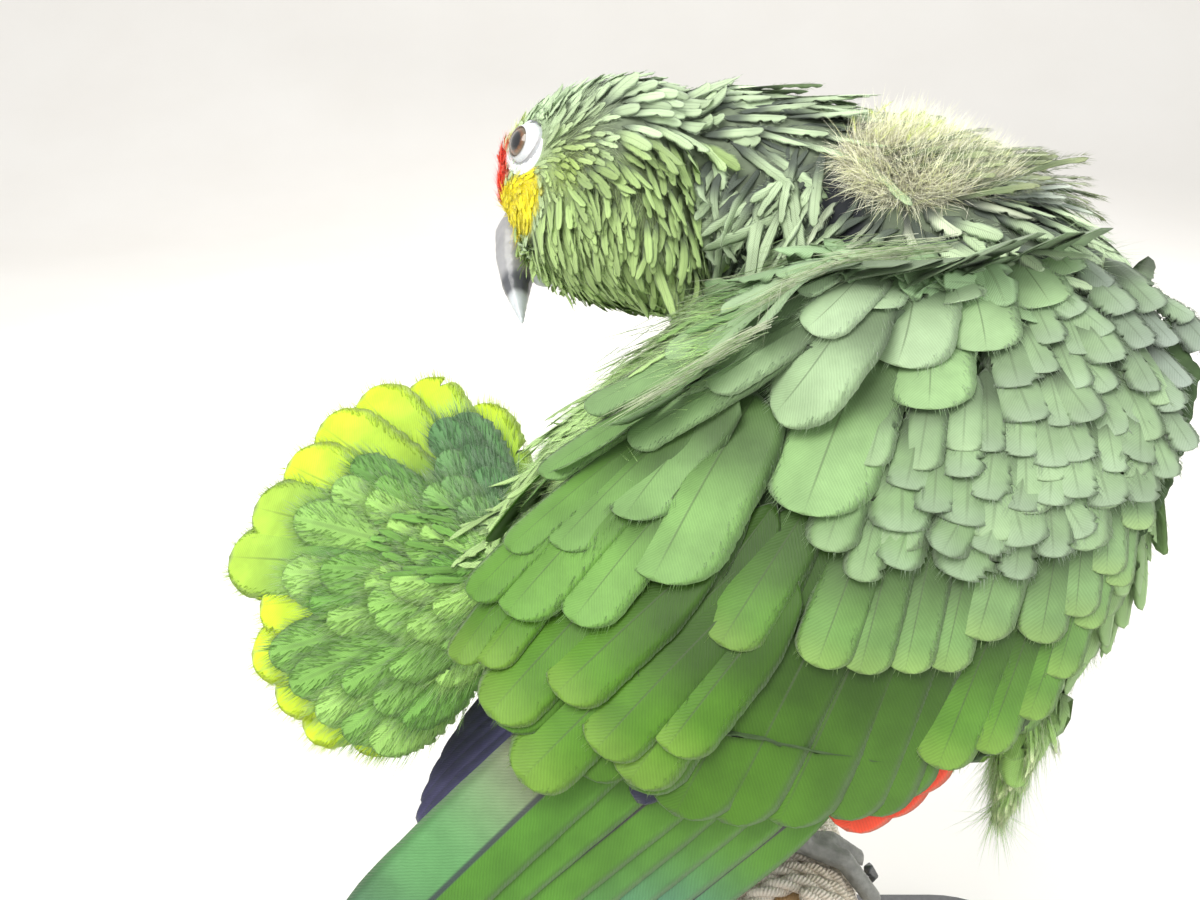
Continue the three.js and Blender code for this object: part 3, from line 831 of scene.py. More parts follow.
def web_colours(d, y):
    """Colours of root, middle and tip on the web that each place across is on."""
    left = (y > 0)[..., None]
    return [np.where(left, d["colours"][:, i + 3][:, None], d["colours"][:, i][:, None]) for i in range(3)]


def feather_faces(rows, columns):
    """Faces of one closed feather: a root point, rows of top points, a row of
    points under the shaft, and a tip point."""
    inner = rows - 2
    keel = 1 + inner * columns
    tip = keel + inner
    quads, tris = [], []
    for i in range(inner - 1):
        row = 1 + i * columns
        for j in range(columns - 1):
            quads.append((row + j, row + j + 1, row + columns + j + 1, row + columns + j))
        quads.append((row + columns - 1, keel + i, keel + i + 1, row + 2 * columns - 1))
        quads.append((keel + i, row, row + columns, keel + i + 1))
    last = 1 + (inner - 1) * columns
    for j in range(columns - 1):
        tris.append((0, 1 + j + 1, 1 + j))
        tris.append((tip, last + j, last + j + 1))
    tris.append((0, keel, columns))
    tris.append((0, 1, keel))
    tris.append((tip, last + columns - 1, keel + inner - 1))
    tris.append((tip, keel + inner - 1, last))
    return tip + 1, [np.array(quads), np.array(tris)]


SMALL = (-1, -0.5, 0, 0.5, 1)
LARGE = (-1, -0.75, -0.42, -0.07, 0, 0.07, 0.42, 0.75, 1)


# ---------- flight feathers and coverts of the wings ----------
def on_wing(wing, a, b, level):
    return wing.place(np.stack([a, b, bulge(a, b) + level], -1))


def ground(wing, a, b):
    """How far the body stands over the wing's own surface, above the wing's arm."""
    extra = np.zeros(len(a))
    out = Vector(wing.rows[2])
    for i in np.flatnonzero(b > 56):
        hit, _, face, _ = skin.tree.ray_cast(Vector(wing.place((a[i], b[i], 60))), -out, 110)
        if hit is not None and skin.labels[skin.polygons[face][0]] != "head":
            extra[i] = max(0.0, wing.local(hit)[2] + 1.2 - bulge(a[i], b[i]))
    return np.minimum(extra, np.interp(a, [-20, 10, 30], [0, 3, 12]))


def wing_normal(wing, a, b):
    step = 0.5
    da = on_wing(wing, a + step, b, 0) - on_wing(wing, a - step, b, 0)
    db = on_wing(wing, a, b + step, 0) - on_wing(wing, a, b - step, 0)
    n = unit(np.cross(da, db))
    return n * np.sign(np.sum(n * wing.rows[2], -1, keepdims=True))


def rolled(normal, ahead, degrees):
    """The normal turned about the feather's own line."""
    angle = np.radians(degrees)
    ahead = unit(ahead)
    turned = normal * np.cos(angle)[..., None] + np.cross(ahead, normal) * np.sin(angle)[..., None]
    return unit(turned)


def add_wing_feathers(plumes, wing, ends, angle, length, half, levels, colours, bend=0.0, roll=0.0,
                      over_body=False, **shape):
    """Feathers given by their tips on the wing, the way that they point in
    degrees above the wing's long axis, and how high their roots and tips lie.
    With `over_body` they lie over the body where it stands over the wing."""
    ends = np.asarray(ends, float)
    count = len(ends)
    angle, length, half, bend, roll = (np.broadcast_to(np.asarray(q, float), (count,))
                                       for q in (angle, length, half, bend, roll))
    low, high = (np.broadcast_to(np.asarray(q, float), (count,)) for q in levels)
    turn = np.radians(angle)
    way = np.stack([np.cos(turn), np.sin(turn)], 1)
    side = np.stack([-way[:, 1], way[:, 0]], 1)
    root = ends - way * length[:, None]
    middle = (root + ends) / 2 + side * (bend * length)[:, None]
    flip = -1.0 if wing is WINGS["left"] else 1.0
    points = []
    for q, s in ((root, 0), (middle, 0.55), (ends, 1)):
        over = ground(wing, q[:, 0], q[:, 1]) if over_body else 0
        sunk = 7 * ramp(q[:, 1], 60, 72) * (1 - ramp(q[:, 0], 15, 30)) * (1 - s)
        points.append(on_wing(wing, q[:, 0], q[:, 1], low + (high - low) * s + over - sunk))
    curve = quadratic(*points)
    n0 = wing_normal(wing, root[:, 0], root[:, 1])
    n1 = wing_normal(wing, ends[:, 0], ends[:, 1])
    n0 = rolled(n0, curve[1], roll * flip)
    n1 = rolled(n1, curve[1], roll * flip)
    plumes.add(curve, n0, n1 - n0, half, colours, **shape)


def wing_colour(a, b):
    """Paler and greyer towards the shoulder as painted sheen, deeper towards the tips."""
    # the pale grey-green share is painted sheen
    pale = ramp(-a, -112, -8) * ramp(b, -28, 30)
    return mix(srgb(76, 122, 26), srgb(142, 168, 126), pale)


# each feather's tip along and across the wing, direction, length and half width
SCAPULARS = [
    (97, 48, -29, 46, 12.5), (63, 46, -34, 40, 12.5), (29, 52, -46, 28, 9.5), (57, 65, -24, 36, 11),
    (29, 62, -38, 30, 10.5), (11, 56, -55, 22, 8.5), (9, 67, -52, 18, 7), (-8, 57, -75, 20, 7.5),
    (-18, 60, -82, 14, 5), (3, 71, -46, 14, 5), (128, 55, -17, 54, 9), (116, 48, -20, 42, 8),
    (112, 62, -15, 42, 7.5), (96, 61, -20, 38, 8.5), (87, 74, -3, 42, 6),
    (69, 87, 4, 40, 6.5), (42, 78, -10, 30, 7.5), (54, 89, 4, 28, 4.5), (38, 86, 2, 20, 4.5),
    (75, 80, 0, 36, 5.5), (27, 75, -18, 20, 6), (66, 77, -4, 32, 6.5),
    (134, 61, -14, 50, 6), (122, 66, -10, 48, 5.5), (108, 76, -4, 44, 5), (92, 84, 2, 44, 5),
]
SECONDARIES = [
    (75, -14, -46, 60, 8), (81, -15, -44, 62, 8.5), (87, -12.5, -42, 64, 9), (98, -8, -38, 66, 10),
    (108, -2, -35, 68, 9.5), (116, 4, -33, 70, 10.5), (121, 13, -29, 70, 9), (129, 20, -25, 70, 9),
    (136, 27, -22, 72, 9), (140, 36, -20, 72, 9),
]
RED_PATCH = [(86, -17.5, -40, 60, 8.5), (79, -17.5, -42, 60, 8.5), (72, -15.5, -44, 60, 8.5)]
PRIMARIES = [
    (168, -31, -14, 92, 8.5), (180, -27, -14, 106, 9), (188, -23, -14, 112, 9.5), (197, -19, -14, 118, 10),
    (204, -14, -13, 122, 10), (207, -8, -14, 124, 10), (204, -2, -16, 122, 11.5), (122, 8, -20, 70, 8),
    (114, 4, -22, 66, 8), (106, 0, -24, 62, 8), (98, -4, -27, 58, 8),
]
FAR_PRIMARIES = [
    (200, -17, -12, 112, 9), (197, -13, -12, 116, 9.5), (193, -9, -12, 116, 9.5), (188, -5, -12, 114, 9.5),
    (182, -1, -12, 112, 9.5), (175, 3, -12, 108, 9.5), (167, 6, -13, 104, 9.5), (120, 8, -20, 70, 8),
    (110, 4, -22, 66, 8), (102, 0, -24, 62, 8),
]
TERTIALS = [
    (143, 51, -23, 60, 5), (138, 48.5, -21, 60, 6.5), (141, 39, -17, 66, 9), (141, 25, -15, 70, 8.5),
    (121, 15, -25, 70, 8),
]
GREATER = [
    (126, 37, -13, 48, 8.5), (124, 24, -17, 46, 8), (111, 18, -22, 44, 8), (91, 31, -26, 40, 7.5),
    (76, 19, -38, 38, 6.5), (69, 14, -44, 36, 6), (61, 10, -46, 34, 5.5), (54, 6.5, -46, 32, 5.5),
    (45, 9, -42, 32, 7), (34, 2, -48, 28, 5.5), (25, 3, -52, 26, 5.5), (15, 7, -54, 24, 5),
    (4, 11, -60, 22, 4.5), (-6, 17, -64, 20, 4.5),
]
PRIMARY_COVERTS = [
    (64, -11.5, -40, 46, 7), (54, -13.5, -42, 44, 6), (43, -11.5, -42, 40, 5), (34, -6.5, -44, 36, 5),
    (24, -0.5, -46, 32, 4.5), (14, 3.5, -50, 28, 4),
]
# the rows that lie over the flight feathers, their level, roll and shift of colour
COVERING = [(TERTIALS, -0.4, 6, -8), (GREATER, 0.4, 7, 0), (PRIMARY_COVERTS, -0.6, 6, 12)]
MEDIANS = [
    (51, 32, -44, 26, 6.5), (33, 25, -47, 28, 7.5), (24, 26, -52, 24, 6), (63, 38, -36, 26, 6),
    (60, 30, -42, 24, 4.5), (17, 14, -60, 22, 6.5), (9, 19, -62, 20, 5.5), (0, 21, -68, 20, 5.5),
    (-8, 25, -72, 18, 5), (16, 29, -58, 18, 5.5), (38, 43, -42, 20, 5), (28, 42, -46, 18, 5),
    (46, 48, -38, 18, 4.5), (-16, 29, -78, 16, 4.5),
]


def spread_out(low, high, gap, tries=4000):
    """Random places in a box of the wing's surface, at least `gap` apart."""
    kept = []
    for spot in rng.uniform(low, high, (tries, 2)):
        if all((spot[0] - q[0]) ** 2 + (spot[1] - q[1]) ** 2 > gap ** 2 for q in kept):
            kept.append(spot)
    return np.array(kept)


def add_table(plumes, wing, rows, levels, colours, **shape):
    """Wing feathers from rows of tip along and across, direction, length and half width."""
    t = np.array(rows)
    add_wing_feathers(plumes, wing, t[:, :2], t[:, 2], t[:, 3], t[:, 4], levels, colours, **shape)


def dress_wing(side):
    wing = WINGS[side]
    # secondaries lie under the greater coverts, each inner one over the next
    big = Plumes()
    t = np.array(SECONDARIES)
    lay = -0.14 * np.arange(len(t))[::-1]
    tone = wing_colour(t[:, 0], t[:, 1])
    # the darker roots are painted shade where the feathers overlap
    add_table(big, wing, SECONDARIES, (lay - 0.6, lay + 0.1), [tone * 0.36, tone * 0.72, tone * 0.84],
              bend=0.012, roll=6, tip=1.0, fray=0.03, split=0.0, widest=0.35, camber=0.14, shade=0.8)
    add_table(big, wing, RED_PATCH, (-5.4, -3.4), [RED * 0.8, RED, mix(RED, LEAF_DARK, 0.15)],
              roll=3, tip=1.1, fray=0.03)
    nodes = (f"secondaries_{side}", f"primaries_{side}")
    big.build(f"secondary_vanes_{side}", 34, LARGE, "flight", nodes)
    # primaries: green outer web, tan to teal inner web, dusky tips; violet on the far wing
    quills = Plumes()
    rows = PRIMARIES if side == "right" else FAR_PRIMARIES
    order = np.arange(len(rows))
    lay = -5.0 - 0.3 * order[::-1]
    inner = [srgb(142, 130, 114), srgb(88, 140, 84), DUSK]
    blue = mix(np.tile(srgb(74, 124, 38), (len(rows), 1)), srgb(80, 128, 128), ramp(-order, -4, -1) * 0.8)
    outer = [srgb(76, 122, 38), blue, DUSK]
    if side == "left":
        inner = [srgb(120, 116, 120), VIOLET, VIOLET * 0.8]
        outer = inner
    add_table(quills, wing, rows, (lay - 0.6, lay + 0.2), inner, bend=0.012, roll=3, webs=outer, tip=2.8,
              widest=0.3, fray=0.015, camber=0.08, shade=0.66, skew=-0.22)
    quills.build(f"primary_vanes_{side}", 34, LARGE, "primary")

    covers = Plumes()
    for rows, level, roll, tone in COVERING:
        t = np.array(rows)
        colour = wing_colour(t[:, 0] + tone, t[:, 1])
        step = -0.08 * np.arange(len(t)) + 0.8 * ramp(t[:, 0], 95, 110)
        # their darker roots are painted shade under the feathers that overlap them
        add_table(covers, wing, rows, (level - 1.2 + step, level + 1.4 + step),
                  [colour * 0.45, colour, mix(colour, srgb(196, 220, 110), 0.14)], bend=0.01, roll=roll,
                  tip=0.82, fray=0.03, split=0.0, widest=0.5, camber=0.2, shade=0.78)
    covers.build(f"greater_coverts_{side}", 34, LARGE, "flight")
    covers.fringe(f"greater_covert_barbs_{side}", 90, 1.3, PLUMAGE, 0.4, 24)

    t = np.array(SCAPULARS)
    colour = wing_colour(t[:, 0] - 34, t[:, 1] + 12) * 1.12
    colour = mix(colour, srgb(128, 178, 86), 0.35 * (1 - ramp(t[:, 1], 48, 70)))
    colour = mix(colour, srgb(178, 202, 162), ramp(t[:, 1], 48, 70) * ramp(-t[:, 0], -76, -36) * 0.8)
    above = Plumes()
    # the darker roots are painted shade where the feathers overlap
    add_table(above, wing, SCAPULARS, (1.2, 3.8), [colour * 0.42, colour, colour], bend=0.012, roll=5,
              over_body=True, tip=0.95, fray=0.03, stem=0.6, widest=0.4, camber=0.24, shade=0.66)
    above.build(f"scapulars_{side}", 34, LARGE, "scapular")
    above.fringe(f"scapular_barbs_{side}", 150, 2.0, PLUMAGE, 0.2)

    coverts = Plumes()
    t = np.array(MEDIANS)
    colour = wing_colour(t[:, 0] - 10, t[:, 1])
    # the darker roots are painted shade where the feathers overlap
    add_table(coverts, wing, MEDIANS, (0.4, 2.8),
              [colour * 0.45, colour, mix(colour, srgb(200, 220, 180), 0.12)], bend=0.01, roll=6, tip=0.8,
              fray=0.06, split=0.04, widest=0.55, camber=0.22, shade=0.7)
    # lesser coverts strewn over the arm, smaller towards the edge
    spots = spread_out((-36, 4), (66, 66), 5.8)
    a, b = spots[:, 0], spots[:, 1]
    low = np.interp(a, [-36, -20, 0, 20, 40, 64], [32, 20, 14, 12, 14, 40])
    high = np.interp(a, [-36, -20, 0, 20, 40, 64], [46, 60, 52, 44, 42, 38])
    keep = (b > low) & (b < high - (10 if side == "left" else 0))
    spots, a, b = spots[keep], a[keep], b[keep]
    count = len(a)
    angle = np.interp(a, [-36, -15, 10, 35, 64], [-96, -80, -66, -50, -40]) + rng.normal(0, 10, count)
    size = np.interp(a, [-36, 0, 40], [0.75, 0.9, 1.1])
    colour = wing_colour(a, b + 10) * rng.uniform(0.76, 1.04, count)[:, None]
    colour = mix(colour, srgb(132, 136, 140), ramp(-a, 8, 24) * rng.uniform(0.1, 0.7, count))
    half = rng.uniform(4.4, 7.6, count) * size
    # the darker roots are painted shade where the feathers overlap
    add_wing_feathers(coverts, wing, spots, angle, 17 * size, half, (0.2, 1.6 + rng.uniform(0.6, 2.6, count)),
                      [colour * 0.3, colour, mix(colour, srgb(176, 184, 180), 0.2)],
                      roll=rng.uniform(-4, 13, count), tip=0.75, fray=0.13, split=0.1, notch=0.28, widest=0.6,
                      camber=0.34, shade=0.66, thick=0.15)
    coverts.build(f"coverts_{side}", 20, SMALL, "covert")
    coverts.fringe(f"covert_barbs_{side}", 70, 2.0, PLUMAGE, width=0.05)
    loose_edge(side)


def loose_edge(side):
    """Long hair-like barbs that stream along the upper edge of the scapulars."""
    wing = WINGS[side]
    count = 300
    a = rng.uniform(6, 78, count)
    top = np.interp(a, [-14, 0, 8, 16, 26, 36, 50, 78], [74, 80, 84, 87, 90, 91.5, 92, 88])
    b = top - 1.5 + rng.normal(0, 2.4, count)
    roots = on_wing(wing, a, b, 0.8 + 1.6 * rng.random(count) + ground(wing, a, b))
    turn = np.radians(np.interp(a, [-14, 20, 40, 78], [10, 14, 4, -4]) + rng.normal(0, 8, count))
    there = (a + np.cos(turn) * 5, b + np.sin(turn) * 5)
    ahead = on_wing(wing, *there, 2.4 + ground(wing, *there))
    ups = np.tile(wing.rows[2], (count, 1))
    colours = mix(np.tile(srgb(204, 210, 180), (count, 1)), srgb(128, 162, 98), rng.random(count))
    strands(f"loose_edge_{side}", roots, unit(ahead - roots), ups, rng.uniform(8, 20, count), 0.11, colours,
            PLUMAGE, droop=-0.08, bins=4)


# ---------- feathers that grow from the skin ----------
NECK_LINE = np.array([
    (-38, 65, 252), (-18, 61, 252), (4, 52, 250), (28, 36, 245), (50, 17, 232), (66, 4, 216),
], float)


def on_thigh(label):
    return (label == "thigh_left") | (label == "thigh_right")


def picture_way(degrees):
    """A direction as seen from the camera: 0 to the right, 90 up."""
    turn = math.radians(degrees)
    pitch = math.radians(90 - CAMERA_TILT)
    up = np.array([0, math.sin(pitch), math.cos(pitch)])
    return math.cos(turn) * np.array([1.0, 0, 0]) + math.sin(turn) * up


# places on the side that the head turns to the viewer, and the lie of the coat there
LIE = [
    ((-62, 52, 282), 38), ((-50, 46, 282), 25), ((-29, 48, 280), 0), ((-9, 42, 278), -8), ((16, 38, 277), 0),
    ((-54, 33, 266), -18), ((-59, 34, 255), -52), ((-60, 33, 246), -80), ((-50, 30, 238), -80),
    ((-48, 30, 266), -45), ((-48, 28, 256), -72),
    ((-39, 24, 262), -88), ((-30, 28, 270), -118), ((-29, 26, 257), -112), ((-28, 24, 244), -95),
    ((-34, 26, 232), -88), ((-28, 47, 226), -95), ((-14, 30, 266), -128), ((-8, 28, 258), -132),
    ((-5, 30, 245), -130), ((8, 24, 262), -140), ((8, 22, 250), -140), ((13, 12, 249), -145),
    ((38, 34, 270), 5), ((36, 10, 264), -5), ((51, 0, 254), -30), ((30, 4, 256), -60),
    ((-65, 39, 239), -112), ((-66, 42, 243), -110), ((-60, 36, 234), -100),
    ((54, -28, 138), -100), ((51, -31, 126), -96), ((48, -30, 114), -95),
]
LIE_PLACES = np.array([p for p, _ in LIE], float)
LIE_WAYS = np.array([picture_way(d) for _, d in LIE])


def lie_of_coat(points, normals, label):
    """Which way the coat lies, from the bill back to the tail and the toes."""
    head = HEAD.local(points)
    back = -HEAD.rows[0]
    away = unit(points - HEAD.place((16, 0, -8)))
    low = np.clip(-head[:, 2] / 30, 0, 1)[:, None]
    way_head = unit(away * 0.7 + back * 0.8 - HEAD.rows[2] * 0.9 * low)
    along_neck = np.argmin(np.linalg.norm(points[:, None] - NECK_LINE[None], axis=2), 1)
    line = unit(np.gradient(NECK_LINE, axis=0))
    way_neck = line[along_neck] + np.array([0, 0, -0.25])
    front = ramp(points[:, 0], 30, 80)[:, None]
    way_trunk = np.array([-0.93, 0.06, -0.34]) * (1 - front) + np.array([-0.25, 0, -0.96]) * front
    low_body = ramp(-points[:, 2], -190, -150)[:, None]
    way_trunk = way_trunk * (1 - 0.6 * low_body) + np.array([-0.5, 0, -0.85]) * 0.6 * low_body
    way_tail = unit(points - TAIL.place((-26, 0, 0)))
    way_thigh = np.broadcast_to(np.array([-0.25, 0, -0.97]), points.shape)
    options = {"head": way_head, "neck": way_neck, "trunk": way_trunk, "tail": way_tail,
               "thigh_left": way_thigh, "thigh_right": way_thigh}
    way = way_trunk.copy()
    for name, choice in options.items():
        way[label == name] = choice[label == name]
    # the near side of the neck is combed down and towards the bill
    sweep = (label == "neck") * ramp(points[:, 0], -20, -8) * (1 - ramp(points[:, 0], 16, 28))
    sweep = (sweep * ramp(-normals[:, 1], -0.3, 0.2) * (1 - ramp(normals[:, 2], 0.6, 0.85)))[:, None]
    way = way * (1 - sweep) + picture_way(-138) * sweep
    gap = np.linalg.norm(points[:, None] - LIE_PLACES[None], axis=2)
    weight = np.exp(-(gap / 10.0) ** 2)
    total = weight.sum(1)[:, None]
    seen = weight @ LIE_WAYS
    strength = np.clip(total * 2.2, 0, 1)
    way = way * (1 - strength) + unit(seen) * strength
    way = way - np.sum(way * normals, 1, keepdims=True) * normals
    return unit(way)


def markings(points, label):
    """The bird's colours over its skin: also what the feathers there carry."""
    at = HEAD.local(points)
    x, z = at[:, 0], at[:, 2]
    is_head, is_neck, is_trunk = (label == name for name in ("head", "neck", "trunk"))
    colour = np.tile(LEAF, (len(points), 1))
    colour = mix(colour, NECK_LIGHT, (is_head | is_neck) * 0.9)
    colour = mix(colour, CROWN, is_head * ramp(z, -6, 6) * ramp(x, -40, -20))
    colour = mix(colour, EAR, is_head * np.exp(-((x + 8) / 11) ** 2 - ((z + 20) / 11) ** 2))
    colour = mix(colour, THROAT, is_head * ramp(-z, 22, 30))
    front = ramp(points[:, 0], 62, 88) * ramp(points[:, 2], 205, 228) * is_trunk
    colour = mix(colour, BREAST, front * 0.7)
    colour = mix(colour, BELLY, ramp(-points[:, 2], -165, -140) * (is_trunk | on_thigh(label)))
    mantle = is_trunk * ramp(points[:, 2], 180, 198)
    colour = mix(colour, srgb(150, 180, 134), mantle * ramp(points[:, 0], -20, 5))
    colour = mix(colour, srgb(140, 170, 112), is_trunk * ramp(points[:, 0], 50, 66) * 0.8)
    colour = mix(colour, RUMP, is_trunk * ramp(-points[:, 0], 10, 30))
    colour = mix(colour, TAIL_GREEN, label == "tail")
    colour = mix(colour, DOWN, downy(points) * is_neck)
    # yellow from behind the eye down to the bill, red on the lores and the forehead
    top = np.interp(x, [-4, 0, 4, 8, 12, 16, 20], [-11, -9, -8.8, -6.6, -3.4, -3.4, -5])
    bottom = np.interp(x, [-4, -1.6, 0.7, 4.6, 8.7, 12, 15.7, 20],
                       [-13.5, -16, -19, -21.4, -22.2, -21.2, -19.5, -16])
    yellow = ramp(top - z, -0.8, 0.8) * ramp(z - bottom, -0.8, 0.8) * ramp(x, 0.0, 1.6) * is_head
    colour = mix(colour, YELLOW, yellow)
    over_eye = np.exp(-((x - 4) / 3.5) ** 2 - ((z - 11) / 2.5) ** 2) * is_head
    colour = mix(colour, YELLOW, np.clip(over_eye, 0, 1) * 0.8)
    border = np.interp(z, [-8, -4, 2, 9, 14], [10.5, 8.4, 7.6, 7.0, 9.0])
    red = ramp(x - border, -0.6, 0.6) * ramp(z, -4, -2.8) * (1 - ramp(z, 12, 15)) * is_head
    colour = mix(colour, RED, red)
    return colour


def downy(points):
    """Where the coat parts over the shoulder and only cream down shows."""
    spots = (((22, 26, 268), 12), ((31, 22, 267), 14), ((42, 26, 266), 11))
    share = sum(near(points, place, radius) for place, radius in spots)
    return ramp(share, 0.35, 0.75)


def dark_gap(points):
    """Where the feathers of the neck stand apart over slate-grey shadow."""
    return sum(near(points, place, 11) for place in ((-6, 26, 249), (6, 20, 246), (8, 22, 256), (52, 8, 256)))


def bald(points):
    """Where no feather grows: the eye rings and the bill."""
    at = HEAD.local(points)
    ring = np.hypot((at[:, 0] - 0.4) / 6.2, (at[:, 2] + 1.0) / 8.4) < 1
    ring &= np.abs(at[:, 1]) > 9
    bill = (at[:, 0] > 18.5) & (at[:, 2] < 2) & (at[:, 2] > -30) & (np.abs(at[:, 1]) < 8)
    return ring | bill


def under_scapulars(points):
    """Where the scapulars cover the body, so that it needs no feathers of its own."""
    covered = np.zeros(len(points), bool)
    for wing in WINGS.values():
        a, b, c = wing.local(points).T
        top = np.interp(a, [-20, 0, 8, 16, 26, 36, 50, 78], [58, 64, 68, 76, 84, 87, 88, 84])
        covered |= (a > -20) & (a < 92) & (b > 50) & (b < top) & (np.abs(c - bulge(a, b)) < 12)
    return covered


def spacing(points):
    """How far apart feathers grow from the skin."""
    label = skin.label_at(points)
    at = HEAD.local(points)
    gap = np.full(len(points), 4.2)
    is_head = label == "head"
    gap[is_head] = 2.7
    gap[is_head & (at[:, 0] <= FACE_FROM) & (at[:, 0] > -20)] = 2.1
    gap[is_head & (at[:, 0] > FACE_FROM)] = 1.6
    gap[label == "neck"] = 3.1
    gap[(label == "neck") & (dark_gap(points) > 0.5)] = 3.9
    gap[(label == "trunk") & (points[:, 0] < -20)] = 3.4
    gap[label == "tail"] = 4.5
    gap[on_thigh(label)] = 3.2
    gap[(label == "wing_left") | (label == "wing_right")] = -1
    gap[bald(points) | under_scapulars(points)] = -1
    gap[(label == "trunk") & (points[:, 2] < 140) & (points[:, 0] > 30)] = -1
    gap[(downy(points) > 0.5) & (label == "neck")] = -1
    return gap


def dress_body():
    roots = skin.scatter(spacing)
    place, face = skin.nearest(roots)
    normal = skin.smooth_normals(face)
    label = skin.label_at(place)
    count = len(place)
    way = lie_of_coat(place, normal, label)
    turn = np.radians(rng.normal(0, 10, count))
    way = unit(way * np.cos(turn)[:, None] + np.cross(normal, way) * np.sin(turn)[:, None])
    at = HEAD.local(place)
    x, z = at[:, 0], at[:, 2]
    is_head, is_neck = label == "head", label == "neck"
    length = np.full(count, 16.0)
    half = np.full(count, 4.6)
    lift = np.full(count, 10.0)
    fray = np.full(count, 0.18)
    tip = np.full(count, 1.1)

    def setting(where, **values):
        arrays = dict(length=length, half=half, lift=lift, fray=fray, tip=tip)
        for key, value in values.items():
            arrays[key][where] = value

    setting(is_head, length=9.5, half=1.9, lift=13, fray=0.25, tip=1.5)
    setting(is_head & (x < -20), length=13, half=2.2, lift=16)
    setting(is_head & (x > -20), length=7.5, half=1.15, fray=0.45, tip=2.2, lift=8)
    face_share = is_head & (x > FACE_FROM)
    length[face_share] = 3.0 + 3.0 * np.clip((12 - x[face_share]) / 21, 0, 1)
    setting(face_share, half=0.85, lift=6, tip=1.8)
    throat = is_head & (z < -22)
    setting(throat, length=11, half=1.35, lift=11, tip=2.4, fray=0.4)
    crown = is_head & (z > -8) & (x < 4)
    setting(crown, length=7.5, half=1.5, lift=10, tip=1.6, fray=0.3)
    chin = is_head & (near(place, (-67, 43, 238), 9) > 0.35)
    setting(chin, length=9, half=1.2, lift=24, tip=2.4, fray=0.4)
    setting(is_neck, length=16, half=2.7, lift=15, tip=1.5, fray=0.3)
    forehead = is_head & (x > 2) & (z > 6)
    setting(forehead, length=4.5, half=1.0, lift=14, tip=1.4)
    combed = (place[:, 0] > -18) & (place[:, 0] < 26) & (normal[:, 1] < 0.2)
    parted = is_neck & ((dark_gap(place) > 0.4) | combed)
    setting(parted, length=24, half=1.9, lift=13, tip=3, fray=0.4)
    setting(is_neck & (normal[:, 2] > 0.6), lift=5)
    rump = (label == "trunk") & (place[:, 0] < -5)
    setting(rump, length=18, half=1.6, lift=8, tip=3, fray=0.6)
    setting(label == "tail", length=20, half=1.5, lift=9, tip=3, fray=0.6)
    setting(on_thigh(label), length=12, half=2.2, fray=0.4, tip=1.8)
    length *= rng.uniform(0.75, 1.25, count)
    half *= rng.uniform(0.75, 1.25, count)
    lift += rng.normal(0, 4, count)

    short = is_head & bald(place + way * length[:, None])
    length[short] *= 0.45
    p1, f1 = skin.nearest(place + way * (length / 2)[:, None])
    p2, f2 = skin.nearest(place + way * length[:, None])
    m1 = skin.smooth_normals(f1)
    m2 = skin.smooth_normals(f2)
    rise = np.tan(np.radians(lift)) * length
    start = place + normal * 0.1
    middle = p1 + m1 * (0.3 + rise * 0.5)[:, None]
    end = p2 + m2 * (0.3 + rise)[:, None]
    curve = quadratic(start, middle, end)
    # the face shows its colours at the feathers' tips, the rest at their roots
    shown = place + way * (0.6 * length * is_head)[:, None]
    colour = markings(shown, label) * rng.uniform(0.8, 1.14, count)[:, None]
    colour = colour * np.where(label == "tail", 0.85, 1.0)[:, None]
    clear = ~(is_head & (bald(p2) | bald(p1)))
    # darker roots: partly the feathers' own grey bases, partly painted shade where they overlap, with
    # slate-grey painted shadow on the neck and the back of the head
    slate = np.where(is_neck, 0.85, 0.7 * (is_head & (x < -12)))
    dark = colour * np.where(face_share | (place[:, 2] > 205), 0.85, 0.35)[:, None]
    dark = mix(dark, np.broadcast_to(NECK_DARK, colour.shape), slate)
    edge = np.where((is_neck | crown)[:, None], colour * 0.85, colour * 1.05)
    shade = np.where(is_neck, 0.62, np.where(face_share, 0.3, 0.5))
    roll = rng.normal(0, 13, count)
    n0 = rolled(normal, way, roll)
    n1 = rolled(m2, way, roll)

    groups = {
        "head_feathers": (is_head, 9, HEAD_PLUMAGE, (9, 2.2)),
        "neck_feathers": (is_neck, 16, HEAD_PLUMAGE, (30, 3.2)),
        "body_feathers": ((label == "trunk") | on_thigh(label), 11, PLUMAGE, (8, 3.0)),
        "tail_base_feathers": (label == "tail", 14, TAIL_FEATHERS, (20, 4.0)),
    }
    for name, (where, rows, slot, (per, reach)) in groups.items():
        plumes = Plumes()
        where = where & clear
        torn = parted[where]
        plumes.add([c[where] for c in curve], n0[where], (n1 - n0)[where], half[where],
                   [dark[where], colour[where], edge[where]], tip=tip[where], fray=fray[where],
                   split=np.where(torn, 0.2, 0.12), camber=0.35, widest=0.5, stem=0.3, thick=0.12, slant=1.2,
                   notch=0.35, shade=shade[where])
        plumes.build(name, rows, SMALL, "combed" if slot == HEAD_PLUMAGE else "soft")
        plumes.fringe(name + "_barbs", per, reach, slot, 0.4, 38)


# ---------- the tail fan ----------
TAIL_LENGTH = 114
FAN_START, FAN_SWEEP = -43, 91  # degrees from the tail's own line
COVERT_START, COVERT_SWEEP = -55, 101
COVERT_REACH = [60, 70, 78, 86, 86, 78, 68, 60]  # across the fan
COVERT_LENGTH = 46.0
# share of the reach, count, half width, height over the tail
COVERT_ROWS = [
    (1.0, 11, 9.0, 7.0), (0.8, 10, 8.5, 8.5), (0.62, 9, 8.0, 10.0), (0.46, 8, 7.0, 11.0),
    (0.34, 7, 6.0, 11.5),
]
GREENER = (5, 6)  # the two middle feathers
RECTRIX_SHARES = np.array([0.62, 0.73, 0.79, 0.86, 0.84, 1, 0.97, 0.93, 0.91, 0.86, 0.76, 0.58])


